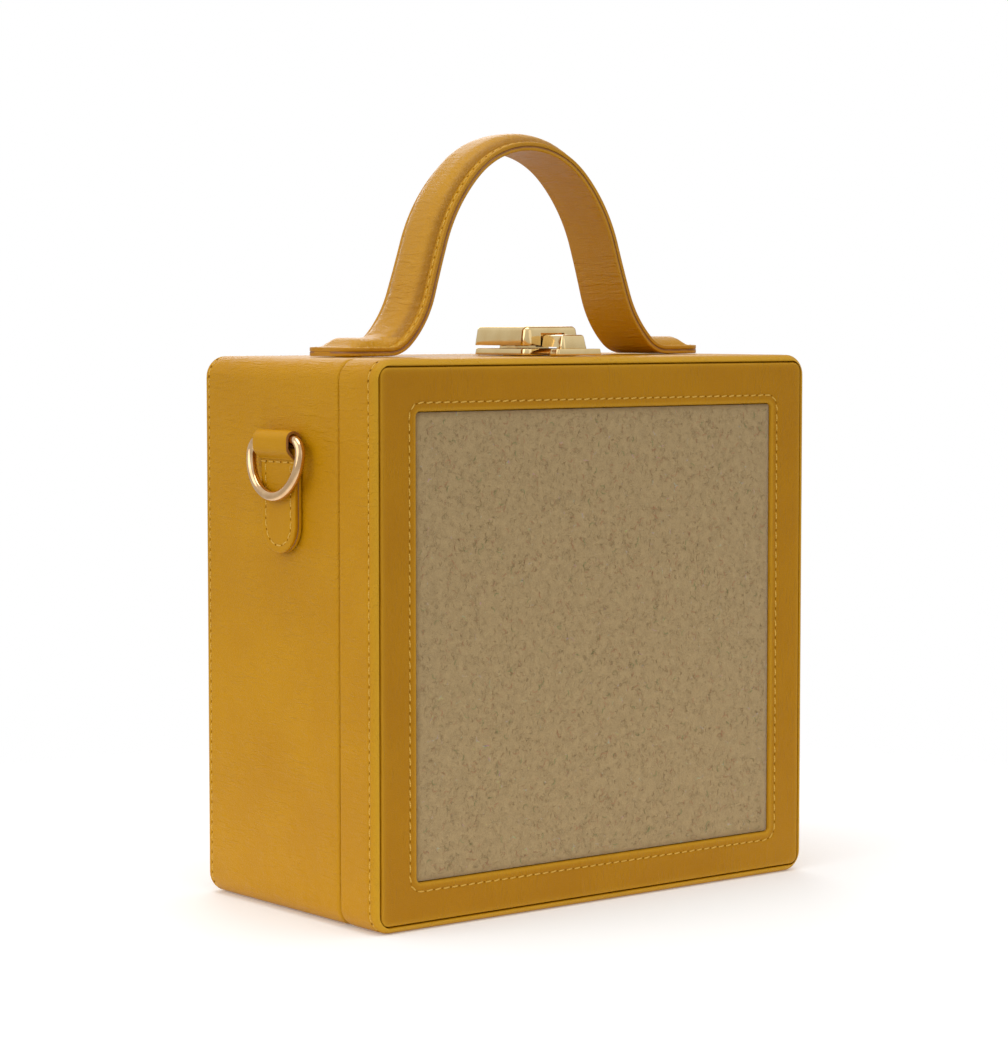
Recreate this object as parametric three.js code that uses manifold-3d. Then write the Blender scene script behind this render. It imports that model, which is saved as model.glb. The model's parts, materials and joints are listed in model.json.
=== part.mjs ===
// A small hard box bag: leather over board, a felt window in the lid, a padded top handle,
// a gold press clasp, two D-rings in side loops and two hinges in the bottom seam.
// Millimetres. X runs along the front, Y to the back, Z up; the origin is under the middle of the bag.
import * as THREE from "three";
import { mergeVertices } from "three/addons/utils/BufferGeometryUtils.js";
import Module from "manifold-3d";

const wasm = await Module();
wasm.setup();

// Clearances
const seat = 0.3; // between a piece and what it sits on
const seamGap = 0.3; // between the rims of case and lid
const panelGap = 0.4; // round a leather panel in its pocket
const overshoot = 1; // how far a cutting solid goes past what it cuts

// Box
const bagWidth = 185;
const bagDepth = 96.5;
const bagHeight = 180;
const lidDepth = 19.4;
const boxCorner = 7;
const edgeRound = 2.8;
const rimRound = 1.2;
const wall = 3.2;

// Leather panels on the front and the back, and the window
const panelInset = 2.2;
const panelCorner = 3;
const panelRound = 0.4;
const panelLeather = 2.1;
const backerBoard = 2;
const borderSide = 16.5;
const borderTop = 16.5;
const borderBottom = 15.2;
const windowCorner = 1.6;
const feltThickness = 1.1;

// Handle
const handleRise = 68.3;
const handleWidth = 23;
const footWidth = 25;
const footReach = 78;
const footCorner = 8;
const strapLeather = 1.3;
const padLeather = 1.3;
const padRise = 3.1;
const padInset = 2.8;
const padEnd = 4;
const padFade = 5;
const spreadHeight = 0.5; // the share of the rise over which the strap widens to its feet
const bendStep = 8; // degrees from one station to the next in a bend
const footStations = 7;
// One row for each bend of one leg, from the crown down: how far it turns, in degrees, and its radius
// as a share of the handle's rise. The straight leg between shoulder and flare takes what is left.
const crownBends = [
  { name: "crown", turn: 45, radius: 0.454 },
  { name: "shoulder", turn: 27.5, radius: 0.805 },
];
const footBends = [
  { name: "flare", turn: -29.5, radius: 0.556 },
  { name: "toe", turn: -43, radius: 0.19 },
];

// Side loops and D-rings
const wireRadius = 1.65;
const wireClearance = 0.25;
const loopLeather = 1.15;
const tabLeather = 2.7;
const tabWidth = 19;
const tabLength = 39.6;
const tabDrop = 23; // the loop's top below the bag's
const loopLength = 8.6;
const ringWidth = 31;
const ringDrop = 20;
const ringCorner = 5;
const ringSteps = 44;

// Clasp
const claspPlate = 2.2;
const claspSetback = 5.75; // from the seam to the base plate
const keeperSetback = 3.25; // from the seam to the keeper
const leverWidth = 24.1;
const leverLength = 29.1;
const leverHeight = 6.4;
const leverLift = 1;
const leverCorner = 3;
const leverBevel = 1.8;
const leverWall = 1.8;
const pivotBack = 11.1;
const pivotRadius = 1;
const lugWidth = 15;
const lugLength = 9;
const keeperWidth = 19.3;
const keeperLength = 4.65;
const keeperCorner = 1;
const tongueWidth = 11.2;
const tongueInset = 2.5;
const tongueReach = 4;
const tongueHeight = 4.6;
const tongueCorner = 1.6;
const tongueRound = 1;

// Hinges
const hingeSpread = 110;
const hingeLength = 26;
const knuckleLength = 8;
const knuckleRadius = 1.9;
const hingePinRadius = 0.8;
const hingeLeaf = 0.8;
const hingeReach = 12;
const hingeHeight = 2.4;
const bottomRelief = 0.2;

// Places that follow from the sizes
const front = -bagDepth / 2;
const back = bagDepth / 2;
const seam = front + lidDepth;
const pocketDepth = panelLeather + seat;
const boardDepth = pocketDepth + backerBoard;
const seatTop = bagHeight + seat;
const plateTop = seatTop + claspPlate;
const loopTop = bagHeight - tabDrop;
const loopBottom = loopTop - loopLength;
const tabBottom = loopTop - tabLength;

const leather = new THREE.MeshStandardMaterial({ color: 0xc08a22, roughness: 0.5 });
const felt = new THREE.MeshStandardMaterial({ color: 0xa08a62, roughness: 1 });
const gold = new THREE.MeshStandardMaterial({ color: 0xd9bb78, roughness: 0.15, metalness: 1 });
const roseGold = new THREE.MeshStandardMaterial({ color: 0xd9b090, roughness: 0.15, metalness: 1 });

// Boolean solids from three.js geometries, and back
function solid(geometry) {
  const bare = new THREE.BufferGeometry();
  bare.setAttribute("position", geometry.getAttribute("position"));
  bare.setIndex(geometry.getIndex());
  const merged = mergeVertices(bare, 1e-4);
  const vertProperties = new Float32Array(merged.attributes.position.array);
  const triVerts = new Uint32Array(merged.index.array);
  return new wasm.Manifold(new wasm.Mesh({ numProp: 3, vertProperties, triVerts }));
}

function piece(name, manifold, material) {
  const { vertProperties, triVerts } = manifold.getMesh();
  const geometry = new THREE.BufferGeometry();
  geometry.setAttribute("position", new THREE.BufferAttribute(vertProperties, 3));
  geometry.setIndex(new THREE.BufferAttribute(triVerts, 1));
  geometry.computeVertexNormals();
  const mesh = new THREE.Mesh(geometry, material);
  mesh.name = name;
  return mesh;
}

function roundedOutline(width, height, corner) {
  const x = width / 2 - corner;
  const y = height / 2 - corner;
  const outline = new THREE.Shape();
  outline.absarc(x, y, corner, 0, Math.PI / 2);
  outline.absarc(-x, y, corner, Math.PI / 2, Math.PI);
  outline.absarc(-x, -y, corner, Math.PI, 1.5 * Math.PI);
  outline.absarc(x, -y, corner, 1.5 * Math.PI, 2 * Math.PI);
  outline.closePath();
  return outline;
}

// A prism of a rounded rectangle, with both end edges rounded when round is given, standing on z = 0
function roundedPrism(width, height, corner, depth, round = 0) {
  const geometry = new THREE.ExtrudeGeometry(roundedOutline(width, height, corner), {
    depth: depth - 2 * round,
    curveSegments: 6,
    bevelEnabled: round > 0,
    bevelThickness: round,
    bevelSize: round,
    bevelOffset: -round,
    bevelSegments: round > 1 ? 4 : 2,
  });
  return geometry.translate(0, 0, round);
}

// The same prism seen from the front: its outline upright and centred at height z, from y0 to y1
function uprightPrism(width, height, corner, y0, y1, z, round = 0) {
  const geometry = roundedPrism(width, height, corner, y1 - y0, round);
  return solid(geometry.rotateX(Math.PI / 2).translate(0, y1, z));
}

// A plate that lies flat: outline in X and Y about the middle of y0 and y1, from z0 up
function flatPlate(width, y0, y1, z0, height, corner, round = 0) {
  const geometry = roundedPrism(width, y1 - y0, corner, height, round);
  return solid(geometry.translate(0, (y0 + y1) / 2, z0));
}

function block(x0, x1, y0, y1, z0, z1) {
  const geometry = new THREE.BoxGeometry(x1 - x0, y1 - y0, z1 - z0);
  return solid(geometry.translate((x0 + x1) / 2, (y0 + y1) / 2, (z0 + z1) / 2));
}

// A round bar along X
function bar(radius, x0, x1, y, z, sides = 16) {
  const geometry = new THREE.CylinderGeometry(radius, radius, x1 - x0, sides);
  return solid(geometry.rotateZ(Math.PI / 2).translate((x0 + x1) / 2, y, z));
}

// Box shells: outside rounded at the panel end and at the rim, hollow inside, a pocket for the panel
function boxShell(rimY, panelY) {
  const out = Math.sign(panelY - rimY);
  const from = Math.min(rimY, panelY);
  const to = Math.max(rimY, panelY);
  const middle = bagHeight / 2;
  const spare = 4 * edgeRound; // past the end that the other rounding makes
  const panelEnd = out > 0 ? [from - spare, to] : [from, to + spare];
  const rimEnd = out > 0 ? [from, to + spare] : [from - spare, to];
  const skin = uprightPrism(bagWidth, bagHeight, boxCorner, ...panelEnd, middle, edgeRound);
  const rimmed = uprightPrism(bagWidth, bagHeight, boxCorner, ...rimEnd, middle, rimRound);
  const floorY = panelY - out * boardDepth;
  const hollow = uprightPrism(
    bagWidth - 2 * wall,
    bagHeight - 2 * wall,
    boxCorner - wall,
    out > 0 ? from - overshoot : floorY,
    out > 0 ? floorY : to + overshoot,
    middle,
  );
  const pocketY = panelY - out * pocketDepth;
  const pocket = uprightPrism(
    bagWidth - 2 * panelInset,
    bagHeight - 2 * panelInset,
    panelCorner + panelGap,
    out > 0 ? pocketY : from - overshoot,
    out > 0 ? to + overshoot : pocketY,
    middle,
  );
  return skin.intersect(rimmed).subtract(hollow).subtract(pocket);
}

// The bottom seam opens in a V about the hinge line, and the hinges lie in round mortises
function bottomSeamCut() {
  const apex = hingeHeight + bottomRelief;
  const side = 2 * apex;
  const groove = new THREE.BoxGeometry(bagWidth + 2 * overshoot, side, side);
  groove.rotateX(Math.PI / 4).translate(0, seam, apex - side / Math.SQRT2);
  let cut = solid(groove);
  for (const x of hingePlaces) {
    const half = hingeLength / 2 + seat;
    cut = cut.add(bar(knuckleRadius + seat, x - half, x + half, seam, hingeHeight));
  }
  return cut;
}

const hingePlaces = [-hingeSpread / 2, hingeSpread / 2];

// A leather panel that fills its pocket, from y0 to y1
function panel(y0, y1) {
  const inset = 2 * (panelInset + panelGap);
  return uprightPrism(bagWidth - inset, bagHeight - inset, panelCorner, y0, y1, bagHeight / 2, panelRound);
}

function windowPrism(clearance, y0, y1) {
  const width = bagWidth - 2 * borderSide - 2 * clearance;
  const height = bagHeight - borderTop - borderBottom - 2 * clearance;
  const middle = (bagHeight - borderTop + borderBottom) / 2;
  return uprightPrism(width, height, windowCorner, y0, y1, middle);
}

// Handle: the line under the strap as stations from one foot's end to the other, each with its
// place, the direction out of the strap, and its distance from the foot's end
function legStations() {
  const stations = [];
  let x = 0;
  let drop = 0;
  let angle = 0;
  const add = (length) => {
    x += length * Math.cos(angle);
    drop += length * Math.sin(angle);
    stations.push({ x, drop, angle });
  };
  const bend = ({ turn, radius }) => {
    const steps = Math.ceil(Math.abs(turn) / bendStep);
    const step = THREE.MathUtils.degToRad(turn) / steps;
    const chord = 2 * radius * handleRise * Math.sin(Math.abs(step) / 2);
    for (let i = 0; i < steps; i++) {
      angle += step / 2;
      add(chord);
      angle += step / 2;
      stations.at(-1).angle = angle;
    }
  };
  const dropOf = (bends, start) => {
    let from = start;
    let sum = 0;
    for (const { turn, radius } of bends) {
      const to = from + THREE.MathUtils.degToRad(turn);
      sum += Math.abs(Math.cos(from) - Math.cos(to)) * radius * handleRise;
      from = to;
    }
    return sum;
  };
  stations.push({ x, drop, angle });
  crownBends.forEach(bend);
  const rest = handleRise - dropOf(crownBends, 0) - dropOf(footBends, angle);
  add(rest / Math.sin(angle));
  footBends.forEach(bend);
  const toe = stations.at(-1);
  const run = footReach - toe.x;
  for (let i = 1; i <= footStations; i++) {
    const share = 1 - (1 - i / footStations) ** 2; // closer together where the foot rounds off
    stations.push({ x: toe.x + share * run, drop: toe.drop, angle: 0 });
  }
  return stations;
}

function handleStations() {
  const leg = legStations().map(({ x, drop, angle }) => ({
    place: new THREE.Vector2(x, seatTop + handleRise - drop),
    out: new THREE.Vector2(Math.sin(angle), Math.cos(angle)),
    toEnd: footReach - x,
    high: 1 - drop / handleRise,
  }));
  const mirrored = leg.slice(1).map((s) => ({
    ...s,
    place: new THREE.Vector2(-s.place.x, s.place.y),
    out: new THREE.Vector2(-s.out.x, s.out.y),
  }));
  return [...mirrored.reverse(), ...leg];
}

// Half the strap's width: the feet are wider and end in rounded corners
function halfWidthAt({ toEnd, high }) {
  const spread = THREE.MathUtils.smoothstep(high, 0, spreadHeight);
  const half = THREE.MathUtils.lerp(footWidth, handleWidth, spread) / 2;
  const into = Math.max(0, footCorner - toEnd);
  return half - footCorner + Math.sqrt(footCorner ** 2 - into ** 2);
}

// A closed loft: a cylinder's grid whose rings move to the sections
function loft(stations, section) {
  const rings = stations.map(section);
  const sides = rings[0].length;
  const last = rings.length - 1;
  const geometry = new THREE.CylinderGeometry(1, 1, last, sides, last);
  const position = geometry.getAttribute("position");
  const vertex = new THREE.Vector3();
  for (let i = 0; i < position.count; i++) {
    vertex.fromBufferAttribute(position, i);
    const ring = rings[Math.round(last / 2 + vertex.y)];
    if (Math.hypot(vertex.x, vertex.z) < 0.5) {
      vertex.set(0, 0, 0);
      ring.forEach((point) => vertex.addScaledVector(point, 1 / sides));
    } else {
      const turn = Math.atan2(vertex.x, vertex.z) / (2 * Math.PI);
      vertex.copy(ring[(Math.round(turn * sides) + sides) % sides]);
    }
    position.setXYZ(i, vertex.x, vertex.y, vertex.z);
  }
  return solid(geometry);
}

// A station's section: pairs of across (share of the half width) and height above the underside line
function stationSection(station, outline) {
  const half = halfWidthAt(station);
  return outline.map(([across, height]) => {
    const { x, y } = station.place.clone().addScaledVector(station.out, height);
    return new THREE.Vector3(x, across * half, y);
  });
}

function strapSection(station) {
  const outline = [[-1, 0], [1, 0], [1, strapLeather], [-1, strapLeather]];
  return stationSection(station, outline);
}

function padSection(station) {
  const low = strapLeather + seat;
  const flange = low + padLeather;
  const rise = padRise * THREE.MathUtils.smoothstep(station.toEnd, padEnd, padEnd + padFade);
  const domeHalf = 1 - padInset / (handleWidth / 2);
  const dome = [1, 0.86, 0.62, 0.32, 0, -0.32, -0.62, -0.86, -1].map((share) => [
    share * domeHalf,
    flange + rise * Math.sqrt(1 - share ** 2),
  ]);
  return stationSection(station, [[-1, low], [1, low], [1, flange], ...dome, [-1, flange]]);
}

// A side loop with its tab, as it lies on the right side: x out of the wall, z up
const loopRadius = wireRadius + wireClearance + loopLeather;
const loopOut = seat + loopRadius;
const ringHeight = loopTop - loopRadius;

function sideTab() {
  const tab = new THREE.Shape();
  const round = tabWidth / 2;
  tab.moveTo(round, ringHeight - tabBottom);
  tab.lineTo(-round, ringHeight - tabBottom);
  tab.absarc(0, round, round, Math.PI, 2 * Math.PI);
  const flat = new THREE.ExtrudeGeometry(tab, { depth: tabLeather, bevelEnabled: false, curveSegments: 12 });
  // outline's x to Y, its y to Z, its depth to X
  const turned = new THREE.Matrix4().makeBasis(
    new THREE.Vector3(0, 1, 0),
    new THREE.Vector3(0, 0, 1),
    new THREE.Vector3(1, 0, 0),
  );
  flat.applyMatrix4(turned).translate(seat, 0, tabBottom);

  const fold = new THREE.Shape();
  fold.moveTo(seat, loopBottom);
  fold.lineTo(seat + tabLeather, loopBottom);
  fold.lineTo(loopOut + loopRadius, loopBottom + loopRadius);
  fold.absarc(loopOut, ringHeight, loopRadius, 0, Math.PI);
  const wrap = new THREE.ExtrudeGeometry(fold, { depth: tabWidth, bevelEnabled: false, curveSegments: 12 });
  wrap.rotateX(Math.PI / 2).translate(0, tabWidth / 2, 0);

  const holeRadius = wireRadius + wireClearance;
  const hole = new THREE.CylinderGeometry(holeRadius, holeRadius, tabWidth + 2 * overshoot, 16);
  hole.translate(loopOut, 0, ringHeight);
  return solid(flat).add(solid(wrap)).subtract(solid(hole));
}

// A D-ring as it hangs on the right side: its bar in the loop, its bow resting near the tab
function ringCurve() {
  const bow = ringWidth / 2 - wireRadius;
  const centre = wireRadius - ringDrop + bow;
  const cornerZ = -ringCorner;
  const cornerY = Math.sqrt((bow - ringCorner) ** 2 - (cornerZ - centre) ** 2);
  const lean = Math.atan2(cornerZ - centre, cornerY);
  const outline = new THREE.Path();
  outline.absarc(cornerY, cornerZ, ringCorner, Math.PI / 2, lean, true);
  outline.absarc(0, centre, bow, lean, Math.PI - lean, true);
  outline.absarc(-cornerY, cornerZ, ringCorner, Math.PI - lean, Math.PI / 2, true);
  outline.closePath();
  const points = outline.getSpacedPoints(ringSteps).slice(0, -1);
  return points.map((p) => new THREE.Vector3(0, p.x, p.y));
}

function ring() {
  const path = new THREE.CatmullRomCurve3(ringCurve(), true);
  const geometry = new THREE.TubeGeometry(path, ringSteps, wireRadius, 8, true);
  const tabFace = seat + tabLeather;
  const bowOut = tabFace + seat + wireRadius;
  const lean = Math.asin((bowOut - loopOut) / (ringDrop - 2 * wireRadius));
  return solid(geometry.rotateY(-lean).translate(loopOut, 0, ringHeight));
}

// The right side's solid, set on the side of the bag that side names, +1 or -1
function onSide(manifold, side) {
  const moved = manifold.translate([bagWidth / 2, 0, 0]);
  return side > 0 ? moved : moved.rotate([0, 0, 180]);
}

// Clasp: base plate with a pivot lug, lever, pin, and the keeper on the lid
const plateFront = seam + claspSetback;
const plateBack = plateFront + leverLength;
const pivotY = plateBack - pivotBack;
const leverUnder = plateTop + leverLift;
const pivotZ = leverUnder + leverWall;
const tongueBack = plateFront + tongueReach;
const tongueTop = plateTop + tongueHeight;
const cavityTop = leverUnder + leverHeight - leverWall;
const cavityFront = plateFront + leverWall;
const cavityBack = pivotY + lugLength / 4 + 2 * seat;

function claspBase() {
  const plate = flatPlate(leverWidth, plateFront, plateBack, seatTop, claspPlate, leverCorner);
  const lugBack = pivotY + lugLength / 4;
  const lugHalf = lugWidth / 2;
  const lugTop = pivotZ + 2 * pivotRadius;
  const lug = block(-lugHalf, lugHalf, lugBack - lugLength, lugBack, plateTop - claspPlate / 2, lugTop);
  const bore = bar(pivotRadius + seat, -leverWidth, leverWidth, pivotY, pivotZ);
  return plate.add(lug).subtract(bore);
}

function claspLever() {
  const sunk = 2 * leverBevel;
  const full = flatPlate(
    leverWidth,
    plateFront,
    plateBack,
    leverUnder - sunk,
    leverHeight + sunk,
    leverCorner,
    leverBevel,
  );
  const half = leverWidth / 2;
  const low = leverUnder - sunk - overshoot;
  const ends = [plateFront - overshoot, plateBack + overshoot];
  const below = block(-leverWidth, leverWidth, ...ends, low, leverUnder);
  const cavityHalf = half - leverWall;
  const cavity = block(-cavityHalf, cavityHalf, cavityFront, cavityBack, leverUnder - overshoot, cavityTop);
  const notchHalf = tongueWidth / 2 + seat;
  const notchTop = tongueTop + 2 * seat;
  const notchFront = plateFront - overshoot;
  const notchBack = cavityFront + overshoot;
  const notch = block(-notchHalf, notchHalf, notchFront, notchBack, leverUnder - overshoot, notchTop);
  const pinHalf = half - leverWall / 2;
  const sockets = bar(pivotRadius + seat, -pinHalf, pinHalf, pivotY, pivotZ);
  return full.subtract(below).subtract(cavity).subtract(notch).subtract(sockets);
}

function claspPin() {
  const half = (leverWidth - leverWall) / 2 - seat;
  return bar(pivotRadius, -half, half, pivotY, pivotZ);
}

function keeper() {
  const backY = seam - keeperSetback;
  const frontY = backY - keeperLength;
  const plate = flatPlate(keeperWidth, frontY, backY, seatTop, claspPlate, keeperCorner);
  const sunk = 2 * tongueRound;
  const tongue = flatPlate(
    tongueWidth,
    frontY + tongueInset,
    tongueBack,
    plateTop - sunk,
    tongueHeight + sunk,
    tongueCorner,
    tongueRound,
  );
  const half = tongueWidth;
  const reach = tongueBack + overshoot;
  const deep = plateTop - 2 * sunk;
  const under = block(-half, half, backY, reach, deep, plateTop + 2 * seat);
  const sole = block(-half, half, frontY, reach, deep, seatTop);
  return plate.add(tongue).subtract(under).subtract(sole);
}

// Hinge leaves: a plate inside the box, and the knuckles on the seam. side is +1 for the case, -1 for the lid
function hingeKnuckles(x, side) {
  const ends = hingeLength / 2;
  if (side > 0) {
    return [[x - ends, x - ends + knuckleLength], [x + ends - knuckleLength, x + ends]];
  }
  return [[x - ends + knuckleLength + seat, x + ends - knuckleLength - seat]];
}

function hingeLeafSolid(x, side) {
  const top = hingeHeight + knuckleRadius;
  const clear = knuckleRadius + 2 * seat;
  const span = (from, to) => (side > 0 ? [seam + from, seam + to] : [seam - to, seam - from]);
  const ends = hingeLength / 2;
  let leaf = block(x - ends, x + ends, ...span(clear, hingeReach), top - hingeLeaf, top);
  for (const [x0, x1] of hingeKnuckles(x, side)) {
    leaf = leaf.add(block(x0, x1, ...span(0, clear + overshoot), top - hingeLeaf, top));
    leaf = leaf.add(bar(knuckleRadius, x0, x1, seam, hingeHeight));
  }
  const bore = bar(hingePinRadius + seat, x - ends - overshoot, x + ends + overshoot, seam, hingeHeight);
  return leaf.subtract(bore);
}

function hingePin(x) {
  const ends = hingeLength / 2 - seat;
  return bar(hingePinRadius, x - ends, x + ends, seam, hingeHeight, 12);
}

// Assembly
const seamCut = bottomSeamCut();
const stations = handleStations();

const box = new THREE.Group();
box.add(
  piece("case_shell", boxShell(seam + seamGap / 2, back).subtract(seamCut), leather),
  piece("back_panel", panel(back - panelLeather, back), leather),
  piece("handle_strap", loft(stations, strapSection), leather),
  piece("handle_pad", loft(stations, padSection), leather),
  piece("clasp_base", claspBase(), gold),
  piece("clasp_pin", claspPin(), gold),
);

const lid = new THREE.Group();
const faceBack = front + panelLeather;
const frameSolid = panel(front, faceBack).subtract(windowPrism(0, front - overshoot, faceBack + overshoot));
lid.add(
  piece("lid_shell", boxShell(seam - seamGap / 2, front).subtract(seamCut), leather),
  piece("front_frame", frameSolid, leather),
  piece("felt_panel", windowPrism(seat, faceBack - feltThickness, faceBack), felt),
  piece("keeper", keeper(), gold),
);

const lever = new THREE.Group();
lever.add(piece("clasp_lever", claspLever(), gold));

const sides = new THREE.Group();
for (const [name, side] of [["left", -1], ["right", 1]]) {
  sides.add(piece("tab_" + name, onSide(sideTab(), side), leather));
  sides.add(piece("ring_" + name, onSide(ring(), side), roseGold));
}

const hinges = new THREE.Group();
hingePlaces.forEach((x, i) => {
  const number = i + 1;
  hinges.add(
    piece("hinge_leaf_case_" + number, hingeLeafSolid(x, 1), gold),
    piece("hinge_leaf_lid_" + number, hingeLeafSolid(x, -1), gold),
    piece("hinge_pin_" + number, hingePin(x), gold),
  );
});

const bag = new THREE.Group();
bag.add(box, lid, lever, sides, hinges);

export default bag;
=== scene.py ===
import json
from math import asin, atan2, ceil, cos, degrees, exp, hypot, pi, radians, sin, sqrt

import bmesh
import bpy
from mathutils import Matrix, Vector, noise


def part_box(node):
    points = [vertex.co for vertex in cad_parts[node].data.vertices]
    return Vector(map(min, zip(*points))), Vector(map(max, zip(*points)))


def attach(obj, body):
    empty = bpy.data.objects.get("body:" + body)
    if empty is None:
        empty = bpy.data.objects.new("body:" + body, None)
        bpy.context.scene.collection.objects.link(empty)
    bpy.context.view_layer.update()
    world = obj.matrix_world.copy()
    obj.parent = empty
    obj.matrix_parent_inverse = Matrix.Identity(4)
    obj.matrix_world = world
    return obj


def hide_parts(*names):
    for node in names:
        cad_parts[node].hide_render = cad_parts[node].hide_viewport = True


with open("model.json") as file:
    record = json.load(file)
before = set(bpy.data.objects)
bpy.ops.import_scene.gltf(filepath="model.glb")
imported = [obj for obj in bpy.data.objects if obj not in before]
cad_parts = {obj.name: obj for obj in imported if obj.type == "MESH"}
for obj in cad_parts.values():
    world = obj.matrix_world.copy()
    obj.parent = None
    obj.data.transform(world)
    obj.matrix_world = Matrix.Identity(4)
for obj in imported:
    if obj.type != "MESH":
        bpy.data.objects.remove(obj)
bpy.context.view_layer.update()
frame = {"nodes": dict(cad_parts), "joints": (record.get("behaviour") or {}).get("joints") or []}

# A small hard box bag. The script's own lengths are millimetres, turned to metres in newPiece.
mm = 0.001


def boxOf(name):
    low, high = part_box(name)
    return Vector(low) / mm, Vector(high) / mm


caseLow, caseHigh = boxOf("case_shell")
lidLow, lidHigh = boxOf("lid_shell")
bag = {
    "halfX": caseHigh.x,
    "height": caseHigh.z,
    "front": lidLow.y,
    "back": caseHigh.y,
    "seam": (lidHigh.y + caseLow.y) / 2,
}
print("frame loaded")


# Camera, floor and light

view = {
    "place": (-0.62924, -0.78517, 0.19244),
    "towards": (0.62218, 0.77987, -0.06855),
    "lens": 102.05,
}
cameraData = bpy.data.cameras.new("camera")
cameraData.lens = view["lens"]
camera = bpy.data.objects.new("camera", cameraData)
camera.location = view["place"]
camera.rotation_euler = Vector(view["towards"]).to_track_quat("-Z", "Y").to_euler()
bpy.context.collection.objects.link(camera)
bpy.context.scene.camera = camera
bpy.context.scene.view_settings.view_transform = "Standard"

studio = {
    "worldLight": 0.74,
    "worldSeen": 1.0,
    "floorRadius": 6.0,
    "floorDepth": 0.09,  # how far down the floor looks for the open lid
    "floorClear": (0.13, 0.36),  # the floor fades out between these distances from the bag's middle
    # name, place, power in watts, size across, colour
    "lamps": [
        ("leftWindow", (-1.5, 0.25, 0.75), 7, 1.6, (1.0, 0.99, 0.97)),
        ("overhead", (-0.15, -0.1, 1.7), 8, 1.2, (1.0, 1.0, 1.0)),
        ("frontFill", (0.3, -1.9, 0.6), 2, 1.6, (1.0, 0.99, 0.98)),
        ("backFill", (0.9, 1.6, 0.9), 6, 1.2, (1.0, 1.0, 1.0)),
    ],
}


def addNode(tree, kind, inputs=None, **settings):
    made = tree.nodes.new(kind)
    for key, value in settings.items():
        setattr(made, key, value)
    for key, value in (inputs or {}).items():
        if isinstance(value, bpy.types.NodeSocket):
            tree.links.new(value, made.inputs[key])
        else:
            made.inputs[key].default_value = value
    return made


def makeStudio():
    world = bpy.data.worlds.new("studio")
    bpy.context.scene.world = world
    world.use_nodes = True
    tree = world.node_tree
    tree.nodes.clear()
    path = addNode(tree, "ShaderNodeLightPath")
    lit = addNode(tree, "ShaderNodeBackground", {"Strength": studio["worldLight"]})
    seen = addNode(tree, "ShaderNodeBackground", {"Color": (1, 1, 1, 1), "Strength": studio["worldSeen"]})
    # brighter above, dimmer at the horizon, so that the gold has something to mirror
    place = addNode(tree, "ShaderNodeTexCoord")
    split = addNode(tree, "ShaderNodeSeparateXYZ", {0: place.outputs["Generated"]})
    ramp = addNode(tree, "ShaderNodeValToRGB", {0: split.outputs["Z"]})
    ramp.color_ramp.elements[0].position = 0.0
    ramp.color_ramp.elements[0].color = (0.78, 0.76, 0.73, 1)
    ramp.color_ramp.elements[1].position = 0.55
    ramp.color_ramp.elements[1].color = (1, 1, 1, 1)
    tree.links.new(ramp.outputs["Color"], lit.inputs["Color"])
    both = addNode(
        tree,
        "ShaderNodeMixShader",
        {0: path.outputs["Is Camera Ray"], 1: lit.outputs[0], 2: seen.outputs[0]},
    )
    addNode(tree, "ShaderNodeOutputWorld", {"Surface": both.outputs[0]})
    for name, place, power, across, colour in studio["lamps"]:
        lamp = bpy.data.lights.new(name, "AREA")
        lamp.shape = "DISK"
        lamp.size = across
        lamp.energy = power
        lamp.color = colour
        holder = bpy.data.objects.new(name, lamp)
        holder.location = place
        holder.rotation_euler = (Vector((0, 0, 0.1)) - Vector(place)).to_track_quat("-Z", "Y").to_euler()
        bpy.context.collection.objects.link(holder)


makeStudio()


# Node groups that several finishes share

def shaderGroup(name, inputs, outputs):
    tree = bpy.data.node_groups.new(name, "ShaderNodeTree")
    kinds = {"float": "NodeSocketFloat", "vector": "NodeSocketVector", "colour": "NodeSocketColor"}
    for title, kind, value in inputs:
        socket = tree.interface.new_socket(title, in_out="INPUT", socket_type=kinds[kind])
        if value is not None:
            socket.default_value = value
    for title, kind in outputs:
        tree.interface.new_socket(title, in_out="OUTPUT", socket_type=kinds[kind])
    start = tree.nodes.new("NodeGroupInput")
    end = tree.nodes.new("NodeGroupOutput")
    return tree, start.outputs, end.inputs


def maths(tree, operation, first, second=0.0, third=0.0):
    made = addNode(tree, "ShaderNodeMath", {0: first, 1: second, 2: third}, operation=operation)
    return made.outputs[0]


def spread(tree, value, low, high, toLow=0.0, toHigh=1.0):
    inputs = {"Value": value, "From Min": low, "From Max": high, "To Min": toLow, "To Max": toHigh}
    return addNode(tree, "ShaderNodeMapRange", inputs, interpolation_type="SMOOTHSTEP").outputs[0]


def noiseField(tree, place, scale, detail=2.0, roughness=0.5, distortion=0.0):
    inputs = {"Vector": place, "Scale": scale, "Detail": detail}
    inputs.update({"Roughness": roughness, "Distortion": distortion})
    return addNode(tree, "ShaderNodeTexNoise", inputs).outputs["Fac"]


def stretch(tree, place, scale):
    return addNode(tree, "ShaderNodeVectorMath", {0: place, 1: scale}, operation="MULTIPLY").outputs[0]


def roughen(tree, shader, height, strength, distance):
    # relief from a height, its distance in millimetres
    inputs = {"Height": height, "Strength": strength, "Distance": distance * mm}
    bump = addNode(tree, "ShaderNodeBump", inputs)
    tree.links.new(bump.outputs[0], shader.inputs["Normal"])


def blendColours(tree, share, first, second, how="MIX"):
    made = addNode(tree, "ShaderNodeMix", data_type="RGBA", blend_type=how)
    for index, value in ((0, share), (6, first), (7, second)):
        if isinstance(value, bpy.types.NodeSocket):
            tree.links.new(value, made.inputs[index])
        else:
            made.inputs[index].default_value = value
    return made.outputs[2]


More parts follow.
